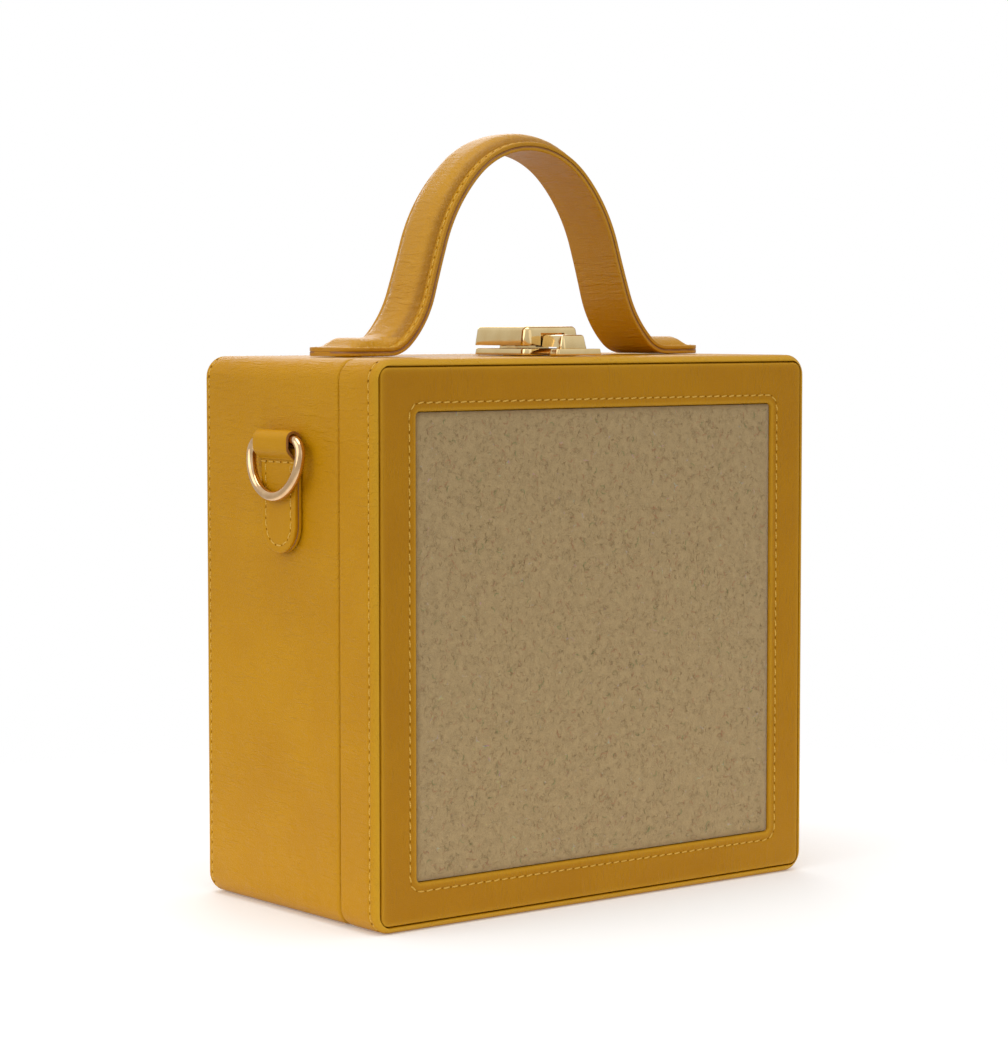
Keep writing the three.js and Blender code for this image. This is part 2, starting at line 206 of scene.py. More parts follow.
def boardedGrain():
    # pebbles in cells, with short creases that run along the stretched direction
    tree, given, result = shaderGroup(
        "boardedGrain",
        [
            ("Vector", "vector", None),
            ("Cells", "float", 1000.0),
            ("Crease Scale", "vector", (1, 1, 1)),
            ("Crease Depth", "float", 0.5),
            ("Lumps", "float", 0.5),
            ("Pebble", "float", 0.3),
        ],
        [("Height", "float"), ("Pits", "float"), ("Mottle", "float")],
    )
    bend = addNode(tree, "ShaderNodeTexNoise", {"Vector": given["Vector"], "Scale": 420.0, "Detail": 2.0})
    shift = addNode(
        tree,
        "ShaderNodeVectorMath",
        {0: bend.outputs["Color"], 1: (0.0009, 0.0009, 0.0009), 2: given["Vector"]},
        operation="MULTIPLY_ADD",
    )
    bent = shift.outputs[0]
    cells = addNode(
        tree,
        "ShaderNodeTexVoronoi",
        {"Vector": bent, "Scale": given["Cells"]},
        feature="DISTANCE_TO_EDGE",
    )
    pebble = spread(tree, cells.outputs["Distance"], 0.0, 0.32)
    stretched = stretch(tree, given["Vector"], given["Crease Scale"])
    lines = noiseField(tree, stretched, 1.0, 2.5, roughness=0.55)
    valley = maths(tree, "ABSOLUTE", maths(tree, "SUBTRACT", lines, 0.5))
    crease = spread(tree, valley, 0.0, 0.1)
    where = noiseField(tree, given["Vector"], 75.0, 2.0)
    patch = spread(tree, where, 0.34, 0.66, 0.25, 1.0)
    creaseCut = maths(tree, "MULTIPLY", maths(tree, "SUBTRACT", 1.0, crease), patch)
    fine = noiseField(tree, given["Vector"], 3400.0, 2.0)
    swell = noiseField(tree, given["Vector"], 330.0, 3.0)
    low = maths(tree, "MULTIPLY", pebble, given["Pebble"])
    ripple = maths(tree, "MULTIPLY", lines, maths(tree, "MULTIPLY", patch, 2.2))
    lumpy = maths(tree, "MULTIPLY_ADD", swell, given["Lumps"], maths(tree, "ADD", low, ripple))
    height = maths(tree, "MULTIPLY_ADD", fine, 0.08, lumpy)
    deep = maths(tree, "MULTIPLY", creaseCut, given["Crease Depth"])
    tree.links.new(maths(tree, "SUBTRACT", height, deep), result["Height"])
    between = maths(tree, "MULTIPLY", maths(tree, "SUBTRACT", 1.0, pebble), given["Pebble"])
    pits = maths(tree, "MULTIPLY_ADD", deep, 0.3, between)
    tree.links.new(pits, result["Pits"])
    cloud = noiseField(tree, given["Vector"], 38.0, 4.0)
    tree.links.new(spread(tree, cloud, 0.3, 0.7), result["Mottle"])
    return tree


def polishMarks():
    # faint polishing lines and cloudy haze
    tree, given, result = shaderGroup(
        "polishMarks",
        [("Vector", "vector", None), ("Line Scale", "vector", (90, 90, 4000))],
        [("Height", "float"), ("Haze", "float")],
    )
    stretched = stretch(tree, given["Vector"], given["Line Scale"])
    lines = noiseField(tree, stretched, 1.0, 3.0)
    haze = noiseField(tree, given["Vector"], 160.0, 3.0)
    tree.links.new(lines, result["Height"])
    tree.links.new(spread(tree, haze, 0.35, 0.7), result["Haze"])
    return tree


grainGroup = boardedGrain()
polishGroup = polishMarks()


def newMaterial(name):
    material = bpy.data.materials.new(name)
    material.use_nodes = True
    tree = material.node_tree
    tree.nodes.clear()
    shader = addNode(tree, "ShaderNodeBsdfPrincipled")
    addNode(tree, "ShaderNodeOutputMaterial", {"Surface": shader.outputs[0]})
    place = addNode(tree, "ShaderNodeTexCoord")
    return material, tree, shader, place.outputs["Object"]


def leatherMaterial(name, look):
    material, tree, shader, place = newMaterial(name)
    grain = addNode(
        tree,
        "ShaderNodeGroup",
        {
            "Vector": place,
            "Cells": look["cells"],
            "Crease Scale": look["creaseScale"],
            "Crease Depth": look["creaseDepth"],
            "Lumps": look["lumps"],
            "Pebble": look["pebble"],
        },
        node_tree=grainGroup,
    )
    body = blendColours(tree, grain.outputs["Mottle"], look["deep"], look["tone"])
    pitShare = maths(tree, "MULTIPLY", grain.outputs["Pits"], look["pitShade"])
    pitted = blendColours(tree, pitShare, body, look["pit"])
    # painted shade where a mesh carries a shade attribute, made patchy by the grain's pits
    shade = addNode(tree, "ShaderNodeAttribute", attribute_name="shade")
    patchy = maths(tree, "MULTIPLY_ADD", grain.outputs["Pits"], 0.8, 0.55)
    shaded = blendColours(tree, maths(tree, "MULTIPLY", shade.outputs["Fac"], patchy), pitted, look["pit"])
    # lighter on lips, rims and rounded edges: rubbed leather, and a painted highlight where light catches the
    # edges
    wearAndHighlight = addNode(tree, "ShaderNodeAttribute", attribute_name="wearAndHighlight")
    wornAndLit = blendColours(tree, wearAndHighlight.outputs["Fac"], shaded, look["rubbedAndLit"])
    tree.links.new(wornAndLit, shader.inputs["Base Color"])
    rough = maths(tree, "MULTIPLY_ADD", grain.outputs["Pits"], 0.22, look["rough"])
    tree.links.new(rough, shader.inputs["Roughness"])
    shader.inputs["Specular IOR Level"].default_value = look["gloss"]
    roughen(tree, shader, grain.outputs["Height"], look["relief"], 0.3)
    return material


mustard = {
    "tone": (0.57, 0.272, 0.0, 1),
    "deep": (0.53, 0.245, 0.0, 1),
    "pit": (0.27, 0.105, 0.0, 1),
    # lighter colour of rubbed edges, also used as a painted edge highlight
    "rubbedAndLit": (0.64, 0.35, 0.02, 1),
    "pitShade": 0.16,
    "rough": 0.36,
    "gloss": 0.16,
    "relief": 0.85,
    "cells": 1500.0,
    "pebble": 0.22,
    "lumps": 0.5,
    "creaseDepth": 0.35,
    "creaseScale": (620.0, 105.0, 620.0),
}
sideLeather = leatherMaterial("sideLeather", mustard)
# The front and back panels: the same mustard leather made darker, a painted shade for faces turned from the
# light, with the creases running the other way.
shadedFaceLeather = leatherMaterial(
    "shadedFaceLeather",
    {
        **mustard,
        "tone": (0.475, 0.212, 0.0, 1),
        "deep": (0.44, 0.19, 0.0, 1),
        "rubbedAndLit": (0.56, 0.28, 0.01, 1),
        "creaseScale": (620.0, 620.0, 105.0),
        "creaseDepth": 0.3,
    },
)
gripLeather = leatherMaterial(
    "gripLeather",
    {**mustard, "creaseScale": (560.0, 80.0, 560.0), "creaseDepth": 0.4, "rough": 0.3, "gloss": 0.36},
)
tabLeather = leatherMaterial(
    "tabLeather",
    {**mustard, "creaseScale": (300.0, 90.0, 500.0), "creaseDepth": 0.3, "relief": 0.4},
)


def paintMaterial():
    # edge paint: smooth, a little uneven, browner than the leather
    material, tree, shader, place = newMaterial("edgePaint")
    drift = noiseField(tree, place, 260.0, 3.0)
    share = spread(tree, drift, 0.3, 0.7)
    colour = blendColours(tree, share, (0.25, 0.095, 0.02, 1), (0.36, 0.15, 0.03, 1))
    tree.links.new(colour, shader.inputs["Base Color"])
    tree.links.new(maths(tree, "MULTIPLY_ADD", share, 0.12, 0.32), shader.inputs["Roughness"])
    roughen(tree, shader, drift, 0.3, 0.15)
    return material


def liningMaterial():
    # plain suede-like lining, with a short nap
    material, tree, shader, place = newMaterial("lining")
    nap = noiseField(tree, place, 1500.0, 4.0)
    stroke = noiseField(tree, place, 45.0, 3.0)
    soft = blendColours(
        tree, spread(tree, stroke, 0.3, 0.7), (0.36, 0.20, 0.055, 1), (0.47, 0.28, 0.09, 1)
    )
    share = maths(tree, "MULTIPLY", nap, 0.35)
    tree.links.new(blendColours(tree, share, soft, (0.2, 0.1, 0.03, 1)), shader.inputs["Base Color"])
    tree.links.new(spread(tree, nap, 0.2, 0.8, 0.82, 1.0), shader.inputs["Roughness"])
    shader.inputs["Sheen Weight"].default_value = 0.25
    shader.inputs["Sheen Roughness"].default_value = 0.5
    roughen(tree, shader, nap, 0.5, 0.2)
    return material


def feltMaterial(name, light, dark, warm):
    # matted wool: clouds, hair-thin streaks and small coloured flecks
    material, tree, shader, place = newMaterial(name)
    cloud = noiseField(tree, place, 340.0, 5.0, roughness=0.65)
    hairs = noiseField(tree, place, 1150.0, 5.0, roughness=0.7, distortion=2.4)
    body = blendColours(tree, spread(tree, cloud, 0.32, 0.68), dark, light)
    valley = maths(tree, "ABSOLUTE", maths(tree, "SUBTRACT", hairs, 0.5))
    thread = spread(tree, valley, 0.0, 0.1, 0.55, 0.0)
    haired = blendColours(tree, thread, body, warm)
    flecks = addNode(tree, "ShaderNodeTexVoronoi", {"Vector": place, "Scale": 520.0})
    rare = maths(tree, "GREATER_THAN", flecks.outputs["Distance"], 0.88)
    tint = blendColours(tree, 0.75, flecks.outputs["Color"], light)
    tree.links.new(
        blendColours(tree, maths(tree, "MULTIPLY", rare, 0.6), haired, tint), shader.inputs["Base Color"]
    )
    tree.links.new(spread(tree, hairs, 0.2, 0.8, 0.85, 1.0), shader.inputs["Roughness"])
    shader.inputs["Specular IOR Level"].default_value = 0.15
    shader.inputs["Sheen Weight"].default_value = 0.2
    shader.inputs["Sheen Roughness"].default_value = 0.6
    height = maths(tree, "MULTIPLY_ADD", cloud, 1.5, hairs)
    roughen(tree, shader, height, 0.7, 0.35)
    return material


def fibreMaterial():
    material, tree, shader, place = newMaterial("feltFibre")
    tone = addNode(tree, "ShaderNodeAttribute", attribute_name="fibreTone")
    ramp = addNode(tree, "ShaderNodeValToRGB", {0: tone.outputs["Fac"]})
    stops = [
        (0.0, (0.17, 0.11, 0.045, 1)),
        (0.4, (0.32, 0.21, 0.09, 1)),
        (0.75, (0.62, 0.50, 0.29, 1)),
        (0.93, (0.55, 0.22, 0.12, 1)),
        (0.98, (0.22, 0.32, 0.12, 1)),
    ]
    ramp.color_ramp.elements[0].position, ramp.color_ramp.elements[0].color = stops[0]
    ramp.color_ramp.elements[1].position, ramp.color_ramp.elements[1].color = stops[-1]
    for position, colour in stops[1:-1]:
        ramp.color_ramp.elements.new(position).color = colour
    along = noiseField(tree, place, 1200.0)
    colour = blendColours(
        tree, maths(tree, "MULTIPLY", along, 0.4), ramp.outputs["Color"], (0.4, 0.3, 0.17, 1)
    )
    tree.links.new(colour, shader.inputs["Base Color"])
    shader.inputs["Roughness"].default_value = 0.85
    shader.inputs["Specular IOR Level"].default_value = 0.2
    return material


def metalMaterial(name, bright, dull, rough):
    material, tree, shader, place = newMaterial(name)
    marks = addNode(tree, "ShaderNodeGroup", {"Vector": place}, node_tree=polishGroup)
    tree.links.new(blendColours(tree, marks.outputs["Haze"], bright, dull), shader.inputs["Base Color"])
    shader.inputs["Metallic"].default_value = 1.0
    tree.links.new(
        maths(tree, "MULTIPLY_ADD", marks.outputs["Haze"], 0.06, rough), shader.inputs["Roughness"]
    )
    roughen(tree, shader, marks.outputs["Height"], 0.05, 0.02)
    return material


def threadMaterial():
    # twisted thread: fine slanted plies
    material, tree, shader, place = newMaterial("thread")
    bands = {"Vector": place, "Scale": 900.0, "Distortion": 1.0}
    plies = addNode(tree, "ShaderNodeTexWave", bands, bands_direction="DIAGONAL")
    colour = blendColours(tree, plies.outputs["Fac"], (0.62, 0.345, 0.02, 1), (0.79, 0.5, 0.09, 1))
    tree.links.new(colour, shader.inputs["Base Color"])
    tree.links.new(maths(tree, "MULTIPLY_ADD", plies.outputs["Fac"], 0.15, 0.45), shader.inputs["Roughness"])
    roughen(tree, shader, plies.outputs["Fac"], 0.6, 0.08)
    return material


def holeMaterial():
    # dark flattened beads sunk at the needle holes: painted shade inside the holes, a little uneven
    material, tree, shader, place = newMaterial("needleHoleShade")
    holeNoise = noiseField(tree, place, 2200.0)
    colour = blendColours(tree, holeNoise, (0.24, 0.1, 0.002, 1), (0.36, 0.155, 0.006, 1))
    tree.links.new(colour, shader.inputs["Base Color"])
    tree.links.new(maths(tree, "MULTIPLY_ADD", holeNoise, 0.1, 0.85), shader.inputs["Roughness"])
    shader.inputs["Specular IOR Level"].default_value = 0.1
    return material


def floorMaterial():
    material, tree, shader, place = newMaterial("paleFloor")
    drift = noiseField(tree, place, 1.5, 2.0)
    colour = blendColours(tree, drift, (0.93, 0.93, 0.93, 1), (0.95, 0.95, 0.95, 1))
    tree.links.new(colour, shader.inputs["Base Color"])
    shader.inputs["Roughness"].default_value = 0.9
    shader.inputs["Specular IOR Level"].default_value = 0.1
    shader.inputs["Emission Color"].default_value = (1, 1, 1, 1)
    shader.inputs["Emission Strength"].default_value = 0.14
    away = addNode(tree, "ShaderNodeVectorMath", {0: place}, operation="LENGTH").outputs["Value"]
    near, far = studio["floorClear"]
    # The open lid hangs below the floor, so the floor is clear from beneath and above whatever is under it.
    depth = {"Distance": studio["floorDepth"]}
    under = addNode(tree, "ShaderNodeAmbientOcclusion", depth, samples=12, inside=True)
    free = spread(tree, under.outputs["AO"], 0.93, 1.0)
    below = addNode(tree, "ShaderNodeNewGeometry").outputs["Backfacing"]
    above = maths(tree, "MULTIPLY", free, maths(tree, "SUBTRACT", 1.0, below))
    fade = spread(tree, away, near, far, 1.0, 0.0)
    tree.links.new(maths(tree, "MULTIPLY", above, fade), shader.inputs["Alpha"])
    return material


edgePaint = paintMaterial()
lining = liningMaterial()
felt = feltMaterial("feltCloth", (0.42, 0.288, 0.127, 1), (0.32, 0.213, 0.088, 1), (0.52, 0.38, 0.19, 1))
fibre = fibreMaterial()
gold = metalMaterial("paleGold", (0.93, 0.72, 0.38, 1), (0.87, 0.65, 0.32, 1), 0.10)
ringGold = metalMaterial("roseGold", (0.88, 0.62, 0.36, 1), (0.70, 0.45, 0.24, 1), 0.06)
thread = threadMaterial()
needleHoleShade = holeMaterial()
print("materials made")


# Mesh helpers

def newPiece(name, vertices, faces, materials, faceMaterial=None, wearAndHighlight=None, sharp=38):
    mesh = bpy.data.meshes.new(name)
    mesh.from_pydata([Vector(v) * mm for v in vertices], [], faces)
    if wearAndHighlight:
        mesh.attributes.new("wearAndHighlight", "FLOAT", "POINT").data.foreach_set("value", wearAndHighlight)
    if faceMaterial:
        mesh.polygons.foreach_set("material_index", faceMaterial)
    for material in materials:
        mesh.materials.append(material)
    return finishMesh(name, mesh, sharp)


def finishMesh(name, mesh, sharp=38):
    shape = bmesh.new()
    shape.from_mesh(mesh)
    bmesh.ops.remove_doubles(shape, verts=shape.verts, dist=0.0005 * mm)
    bmesh.ops.recalc_face_normals(shape, faces=shape.faces)
    shape.to_mesh(mesh)
    shape.free()
    mesh.shade_smooth()
    mesh.set_sharp_from_angle(angle=radians(sharp))
    made = bpy.data.objects.new(name, mesh)
    bpy.context.collection.objects.link(made)
    return made


def joinPieces(name, parts):
    # one mesh from several, with their materials kept
    target = parts[0]
    with bpy.context.temp_override(active_object=target, selected_editable_objects=parts):
        bpy.ops.object.join()
    target.name = name
    target.data.name = name
    return target


def applyModifiers(made):
    graph = bpy.context.evaluated_depsgraph_get()
    mesh = bpy.data.meshes.new_from_object(made.evaluated_get(graph))
    made.modifiers.clear()
    made.data = mesh
    return made


def cutAway(made, cutters):
    for cutter in cutters:
        change = made.modifiers.new("cut", "BOOLEAN")
        change.operation = "DIFFERENCE"
        change.solver = "EXACT"
        change.object = cutter
    applyModifiers(made)
    for cutter in cutters:
        bpy.data.objects.remove(cutter)
    made.data.shade_smooth()
    made.data.set_sharp_from_angle(angle=radians(38))
    return made


def bandFaces(ringCount, sides, closed=False):
    faces = []
    for k in range(ringCount if closed else ringCount - 1):
        low = k * sides
        high = (k + 1) % ringCount * sides
        for i in range(sides):
            j = (i + 1) % sides
            faces.append((low + i, low + j, high + j, high + i))
    return faces


def loftPiece(name, rings, materials, bandMaterial=None, wearAndHighlight=None, capped=True, sharp=38, sideMaterial=None):
    # rings of points, joined in order. bandMaterial and the edge lightening (rubbed leather with a painted
    # highlight) have one value for each ring, sideMaterial one for each point of a ring
    sides = len(rings[0])
    faces = bandFaces(len(rings), sides, not capped)
    perFace = []
    if bandMaterial:
        perFace = [bandMaterial[i // sides] for i in range(len(faces))]
    if sideMaterial:
        perFace = [sideMaterial[i % sides] for i in range(len(faces))]
    if capped:
        faces.append(tuple(range(sides)))
        last = (len(rings) - 1) * sides
        faces.append(tuple(range(last, last + sides)))
        if perFace:
            perFace += [perFace[0], perFace[-1]]
    perVertex = [wearAndHighlight[i // sides] for i in range(len(rings) * sides)] if wearAndHighlight else None
    vertices = [point for ring in rings for point in ring]
    return newPiece(name, vertices, faces, materials, perFace or None, perVertex, sharp)


ringSteps = {"arc": 8, "alongX": 90, "alongZ": 88}


def roundedRing(halfX, halfZ, corner, middleX=0.0, middleZ=0.0, steps=ringSteps):
    # one turn round a rounded rectangle in X and Z, with the same number of points whatever its size
    points = []
    corners = [(1, 1, 0), (-1, 1, 90), (-1, -1, 180), (1, -1, 270)]
    arc = steps["arc"]
    for index, (signX, signZ, start) in enumerate(corners):
        for i in range(arc + 1):
            turn = radians(start + 90 * i / arc)
            points.append(
                (
                    middleX + signX * (halfX - corner) + corner * cos(turn),
                    middleZ + signZ * (halfZ - corner) + corner * sin(turn),
                )
            )
        x0, z0 = points[-1]
        nextX, nextZ, nextStart = corners[(index + 1) % 4]
        turn = radians(nextStart)
        x1 = middleX + nextX * (halfX - corner) + corner * cos(turn)
        z1 = middleZ + nextZ * (halfZ - corner) + corner * sin(turn)
        count = steps["alongX"] if index % 2 == 0 else steps["alongZ"]
        for i in range(1, count):
            share = i / count
            points.append((x0 + (x1 - x0) * share, z0 + (z1 - z0) * share))
    return points


def wave(*place):
    return noise.noise(Vector(place))


def crumple(across, along, seed):
    # a ridge of folds: across is the quick direction, along the slow one
    return abs(wave(across, along, seed)) - 0.25


# Case and lid: leather over board

shell = {
    "corner": 7.0,
    "edgeRound": 2.8,
    "rimRound": 1.2,
    "wall": 3.2,
    "lip": 2.2,
    "lipRound": 0.45,
    "lipCorner": 3.4,
    "pocket": 2.4,
    "board": 4.4,
    "ringPitch": 2.0,
    "stitchIn": 3.2,
    "stitchSink": 0.3,
    "grooveApex": 2.6,
    "undulation": 0.16,
}
tabCentre = {"y": 0.0, "z": 150.0}


def shellRows(depth):
    # the cut wall from the pocket's floor, over the lip and the outside, to the rim and the inside.
    # each row: distance from the panel's end, inset, corner, edge lightening (rubbed leather and a painted
    # highlight), material
    s = shell
    rows = [
        (s["pocket"], s["lip"] + 6, s["lipCorner"], 0, 0),
        (s["pocket"], s["lip"] + 0.2, s["lipCorner"], 0, 0),
        (s["pocket"] - 0.2, s["lip"], s["lipCorner"], 0, 0),
    ]
    crest = s["lip"] - s["lipRound"]
    first = s["edgeRound"] * (1 - sqrt(1 - (1 - crest / s["edgeRound"]) ** 2))
    for i in range(5):
        turn = radians(90 * i / 4)
        inset = crest + s["lipRound"] * cos(turn)
        away = first + s["lipRound"] * (1 - sin(turn))
        share = (s["lip"] - inset) / s["lipRound"]
        corner = s["lipCorner"] + (s["corner"] - crest - s["lipCorner"]) * share
        rows.append((away, inset, corner, 0.9 * share, 0))
    steps = 7
    start = degrees(asin(1 - crest / s["edgeRound"]))
    for i in range(1, steps + 1):
        turn = radians(start + (90 - start) * i / (steps + 1))
        inset = s["edgeRound"] * (1 - sin(turn))
        away = s["edgeRound"] * (1 - cos(turn))
        rows.append((away, inset, s["corner"] - inset, 0.9 * (1 - i / (steps + 1)), 0))
    away = s["edgeRound"]
    flatEnd = depth - s["rimRound"]
    while away < flatEnd - 0.2:
        sink = s["stitchSink"] * exp(-(((away - s["stitchIn"]) / 0.5) ** 2))
        rows.append((away, sink, s["corner"] - sink, 0, 0))
        away += 0.3 if away < s["stitchIn"] + 1.2 else s["ringPitch"]
    for i in range(6):
        turn = radians(90 * i / 5)
        inset = s["rimRound"] * (1 - cos(turn))
        away = flatEnd + s["rimRound"] * sin(turn)
        rows.append((away, inset, s["corner"] - inset, 0.45 * sin(turn), 0))
    inner = 0.5
    rows.append((depth, s["wall"] - inner, s["corner"] - s["wall"] + inner, 0.2, 0))
    rows.append((depth - inner * 0.3, s["wall"] - inner * 0.3, s["corner"] - s["wall"] + inner * 0.3, 0, 1))
    rows.append((depth - inner, s["wall"], s["corner"] - s["wall"], 0, 1))
    count = max(2, round((depth - s["board"]) / 8))
    for i in range(1, count):
        away = depth - inner - (depth - inner - s["board"] - 0.5) * i / count
        rows.append((away, s["wall"], s["corner"] - s["wall"], 0, 1))
    rows.append((s["board"] + 0.5, s["wall"], s["corner"] - s["wall"], 0, 1))
    rows.append((s["board"], s["wall"] + 0.5, s["corner"] - s["wall"], 0, 1))
    rows.append((s["board"], s["wall"] + 8, s["corner"] - s["wall"], 0, 1))
    return rows


def sideRelief(y, z):
    # leather drawn over the board: slow waves, and diagonal folds above and before the side loop
    slow = shell["undulation"] * wave(y / 21, z / 34, 3.1)
    away = hypot((y - tabCentre["y"] + 10) / 20, (z - tabCentre["z"] - 8) / 16)
    near = exp(-(away ** 2))
    folds = crumple((z + 0.75 * y) / 3.4, (y - 0.3 * z) / 15, 7.7)
    return slow - 0.34 * near * folds


def shellPiece(name, rimY, panelY):
    out = 1 if panelY > rimY else -1
    halfZ = bag["height"] / 2
    rings, wearAndHighlight, bands = [], [], []
    for away, inset, corner, wornAndLit, material in shellRows(abs(panelY - rimY)):
        y = panelY - out * away
        outer = roundedRing(bag["halfX"] - inset, halfZ - inset, corner, 0, halfZ)
        ring = []
        for x, z in outer:
            pushed = y
            opening = shell["grooveApex"] - z
            if opening > 0 and abs(y - bag["seam"]) < opening:
                pushed = bag["seam"] + out * opening
            if material == 0 and inset < 0.4:
                flatness = min(1.0, max(0.0, (min(z, 2 * halfZ - z) - 5) / 8))
                if abs(abs(x) - bag["halfX"]) < 0.5:
                    x += -abs(sideRelief(pushed, z)) * flatness * (1 if x > 0 else -1) * fadeIn(away)
            ring.append((x, pushed, z))
        rings.append(ring)
        wearAndHighlight.append(wornAndLit)
        bands.append(material)
    return loftPiece(name, rings, [sideLeather, lining], bands, wearAndHighlight)


def fadeIn(away):
    return min(1.0, max(0.0, (away - 5) / 4))


hinge = {
    "height": 2.4,
    "places": [-55.0, 55.0],
    "length": 26.0,
    "mortise": 2.2,
    "gap": 0.3,
    "pinRadius": 0.8,
    "leafRound": 0.12,
}


def barAlongX(name, radius, x0, x1, y, z, materials, sides=32):
    rings = []
    rim = min(0.15, radius / 4)
    for x, r in ((x0, radius - rim), (x0 + rim, radius), (x1 - rim, radius), (x1, radius - rim)):
        turns = [2 * pi * i / sides for i in range(sides)]
        rings.append([(x, y + r * cos(turn), z + r * sin(turn)) for turn in turns])
    return loftPiece(name, rings, materials)


def hingeCutters(prefix):
    half = hinge["length"] / 2 + hinge["gap"]
    return [
        barAlongX(prefix, hinge["mortise"], x - half, x + half, bag["seam"], hinge["height"], [lining])
        for x in hinge["places"]
    ]


def settle(made, body, slot, *nodes):
    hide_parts(*nodes)
    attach(made, body)
    return made


caseShell = cutAway(shellPiece("case_leather", caseLow.y, bag["back"]), hingeCutters("mortiseCase"))
lidShell = cutAway(shellPiece("lid_leather", lidHigh.y, bag["front"]), hingeCutters("mortiseLid"))
settle(caseShell, "case", "leather", "case_shell")
settle(lidShell, "lid", "leather", "lid_shell")
print("case and lid made")


# The leather frame round the window, and the back panel

frameLow, frameHigh = boxOf("front_frame")
feltLow, feltHigh = boxOf("felt_panel")
face = {
    "corner": 3.0,
    "edgeRound": 0.8,
    "windowGap": 0.3,
    "windowCorner": 1.6,
    "roll": 1.0,
    "stitchOut": 2.8,
    "stitchSink": 0.26,
    "rise": 0.12,
}
window = {
    "halfX": feltHigh.x + face["windowGap"],
    "halfZ": (feltHigh.z - feltLow.z) / 2 + face["windowGap"],
    "middleZ": (feltHigh.z + feltLow.z) / 2,
}


def windowOutline(offset):
    # a line round the window, this far outside its edge
    w = window
    corner = face["windowCorner"] + offset
    return roundedRing(w["halfX"] + offset, w["halfZ"] + offset, corner, 0, w["middleZ"])


def frameHeights(offset):
    # how far the leather lies below its highest, at this distance outside the window's edge
    f = face
    if offset < f["roll"]:
        return f["roll"] - sqrt(max(0.0, f["roll"] ** 2 - (f["roll"] - offset) ** 2))
    return f["stitchSink"] * exp(-(((offset - f["stitchOut"]) / 0.55) ** 2))


def edgeRows():
    # a quarter round in 6 rows: two distances from the corner's sides, and the edge lightening (rubbed
    # leather and a painted highlight)
    rows = []
    for i in range(6):
        turn = radians(90 * i / 5)
        wornAndLit = 0.8 * sin(pi * i / 5) ** 0.5 if 0 < i < 5 else 0.4
        rows.append((face["edgeRound"] * (1 - cos(turn)), face["edgeRound"] * (1 - sin(turn)), wornAndLit))
    return rows


def frontFramePiece():
    halfX = frameHigh.x
    halfZ = (frameHigh.z - frameLow.z) / 2
    middle = (frameHigh.z + frameLow.z) / 2
    faceY, backY = frameLow.y, frameHigh.y
    rings, wearAndHighlight = [], []

    def windowRing(offset, y):
        return [(x, y, z) for x, z in windowOutline(offset)]

    def outerRing(inset, y):
        outline = roundedRing(halfX - inset, halfZ - inset, face["corner"] - min(inset, 2.5), 0, middle)
        return [(x, y, z) for x, z in outline]

    rings.append(windowRing(0.3, backY))
    wearAndHighlight.append(0)
    rings.append(windowRing(0.0, backY - 0.3))
    wearAndHighlight.append(0)
    offset = 0.0
    while offset < 6.0:
        rings.append(windowRing(offset, faceY + frameHeights(offset)))
        # lighter along the window's rolled edge: rubbed leather and a painted highlight
        wearAndHighlight.append(0.85 * exp(-((offset - 0.5) ** 2) / 0.5))
        offset += 0.14 if offset < face["roll"] else 0.25 if offset < 4.2 else 0.9
    for share in (0.35, 0.6, 0.8):
        inner = windowRing(6.0, faceY)
        outer = outerRing(1.6, faceY)
        rings.append(
            [
                (a[0] + (b[0] - a[0]) * share, faceY, a[2] + (b[2] - a[2]) * share)
                for a, b in zip(inner, outer)
            ]
        )
        wearAndHighlight.append(0)
    rings.append(outerRing(1.6, faceY))
    wearAndHighlight.append(0.1)
    for inset, away, wornAndLit in edgeRows():
        rings.append(outerRing(away, faceY + inset))
        wearAndHighlight.append(wornAndLit)
    rings.append(outerRing(0.0, backY - 0.3))
    wearAndHighlight.append(0)
    rings.append(outerRing(0.3, backY))
    wearAndHighlight.append(0)
    for ring in rings[2:-3]:
        for i, (x, y, z) in enumerate(ring):
            if y < faceY + 0.05:
                ring[i] = (x, y + face["rise"] * abs(wave(x / 17, 2.3, z / 17)), z)
    return loftPiece("front_leather", rings, [shadedFaceLeather], None, wearAndHighlight, capped=False)


def backPanelPiece():
    low, high = boxOf("back_panel")
    halfZ = (high.z - low.z) / 2
    middle = (high.z + low.z) / 2
    rings, wearAndHighlight = [], []

    def ringAt(inset, y):
        outline = roundedRing(high.x - inset, halfZ - inset, max(1.0, face["corner"] - inset), 0, middle)
        return [(x, y, z) for x, z in outline]

    rings += [ringAt(12, low.y), ringAt(0.3, low.y), ringAt(0, low.y + 0.3)]
    wearAndHighlight += [0, 0, 0]
    for inset, away, wornAndLit in edgeRows():
        rings.append(ringAt(inset, high.y - away))
        wearAndHighlight.append(wornAndLit)
    for inset in (1.2, 2, 3, 5, 8, 12, 18, 26, 36, 48, 60, 72):
        ring = ringAt(inset, high.y)
        rings.append([(x, y - face["rise"] * abs(wave(x / 19, 5.1, z / 19)), z) for x, y, z in ring])
        wearAndHighlight.append(0)
    return loftPiece("back_leather", rings, [shadedFaceLeather], None, wearAndHighlight)


settle(frontFramePiece(), "lid", "leather", "front_frame")
settle(backPanelPiece(), "case", "leather", "back_panel")
print("front frame and back panel made")


# Felt in the window, and its loose fibres

feltCloth = {
    "cell": 1.9,
    "nap": 0.07,
    "fibres": 6400,
    "seed": 11,
    "fibreLength": 1.6,
    "fibreRadius": 0.06,
    "fibreInset": 1.2,
}


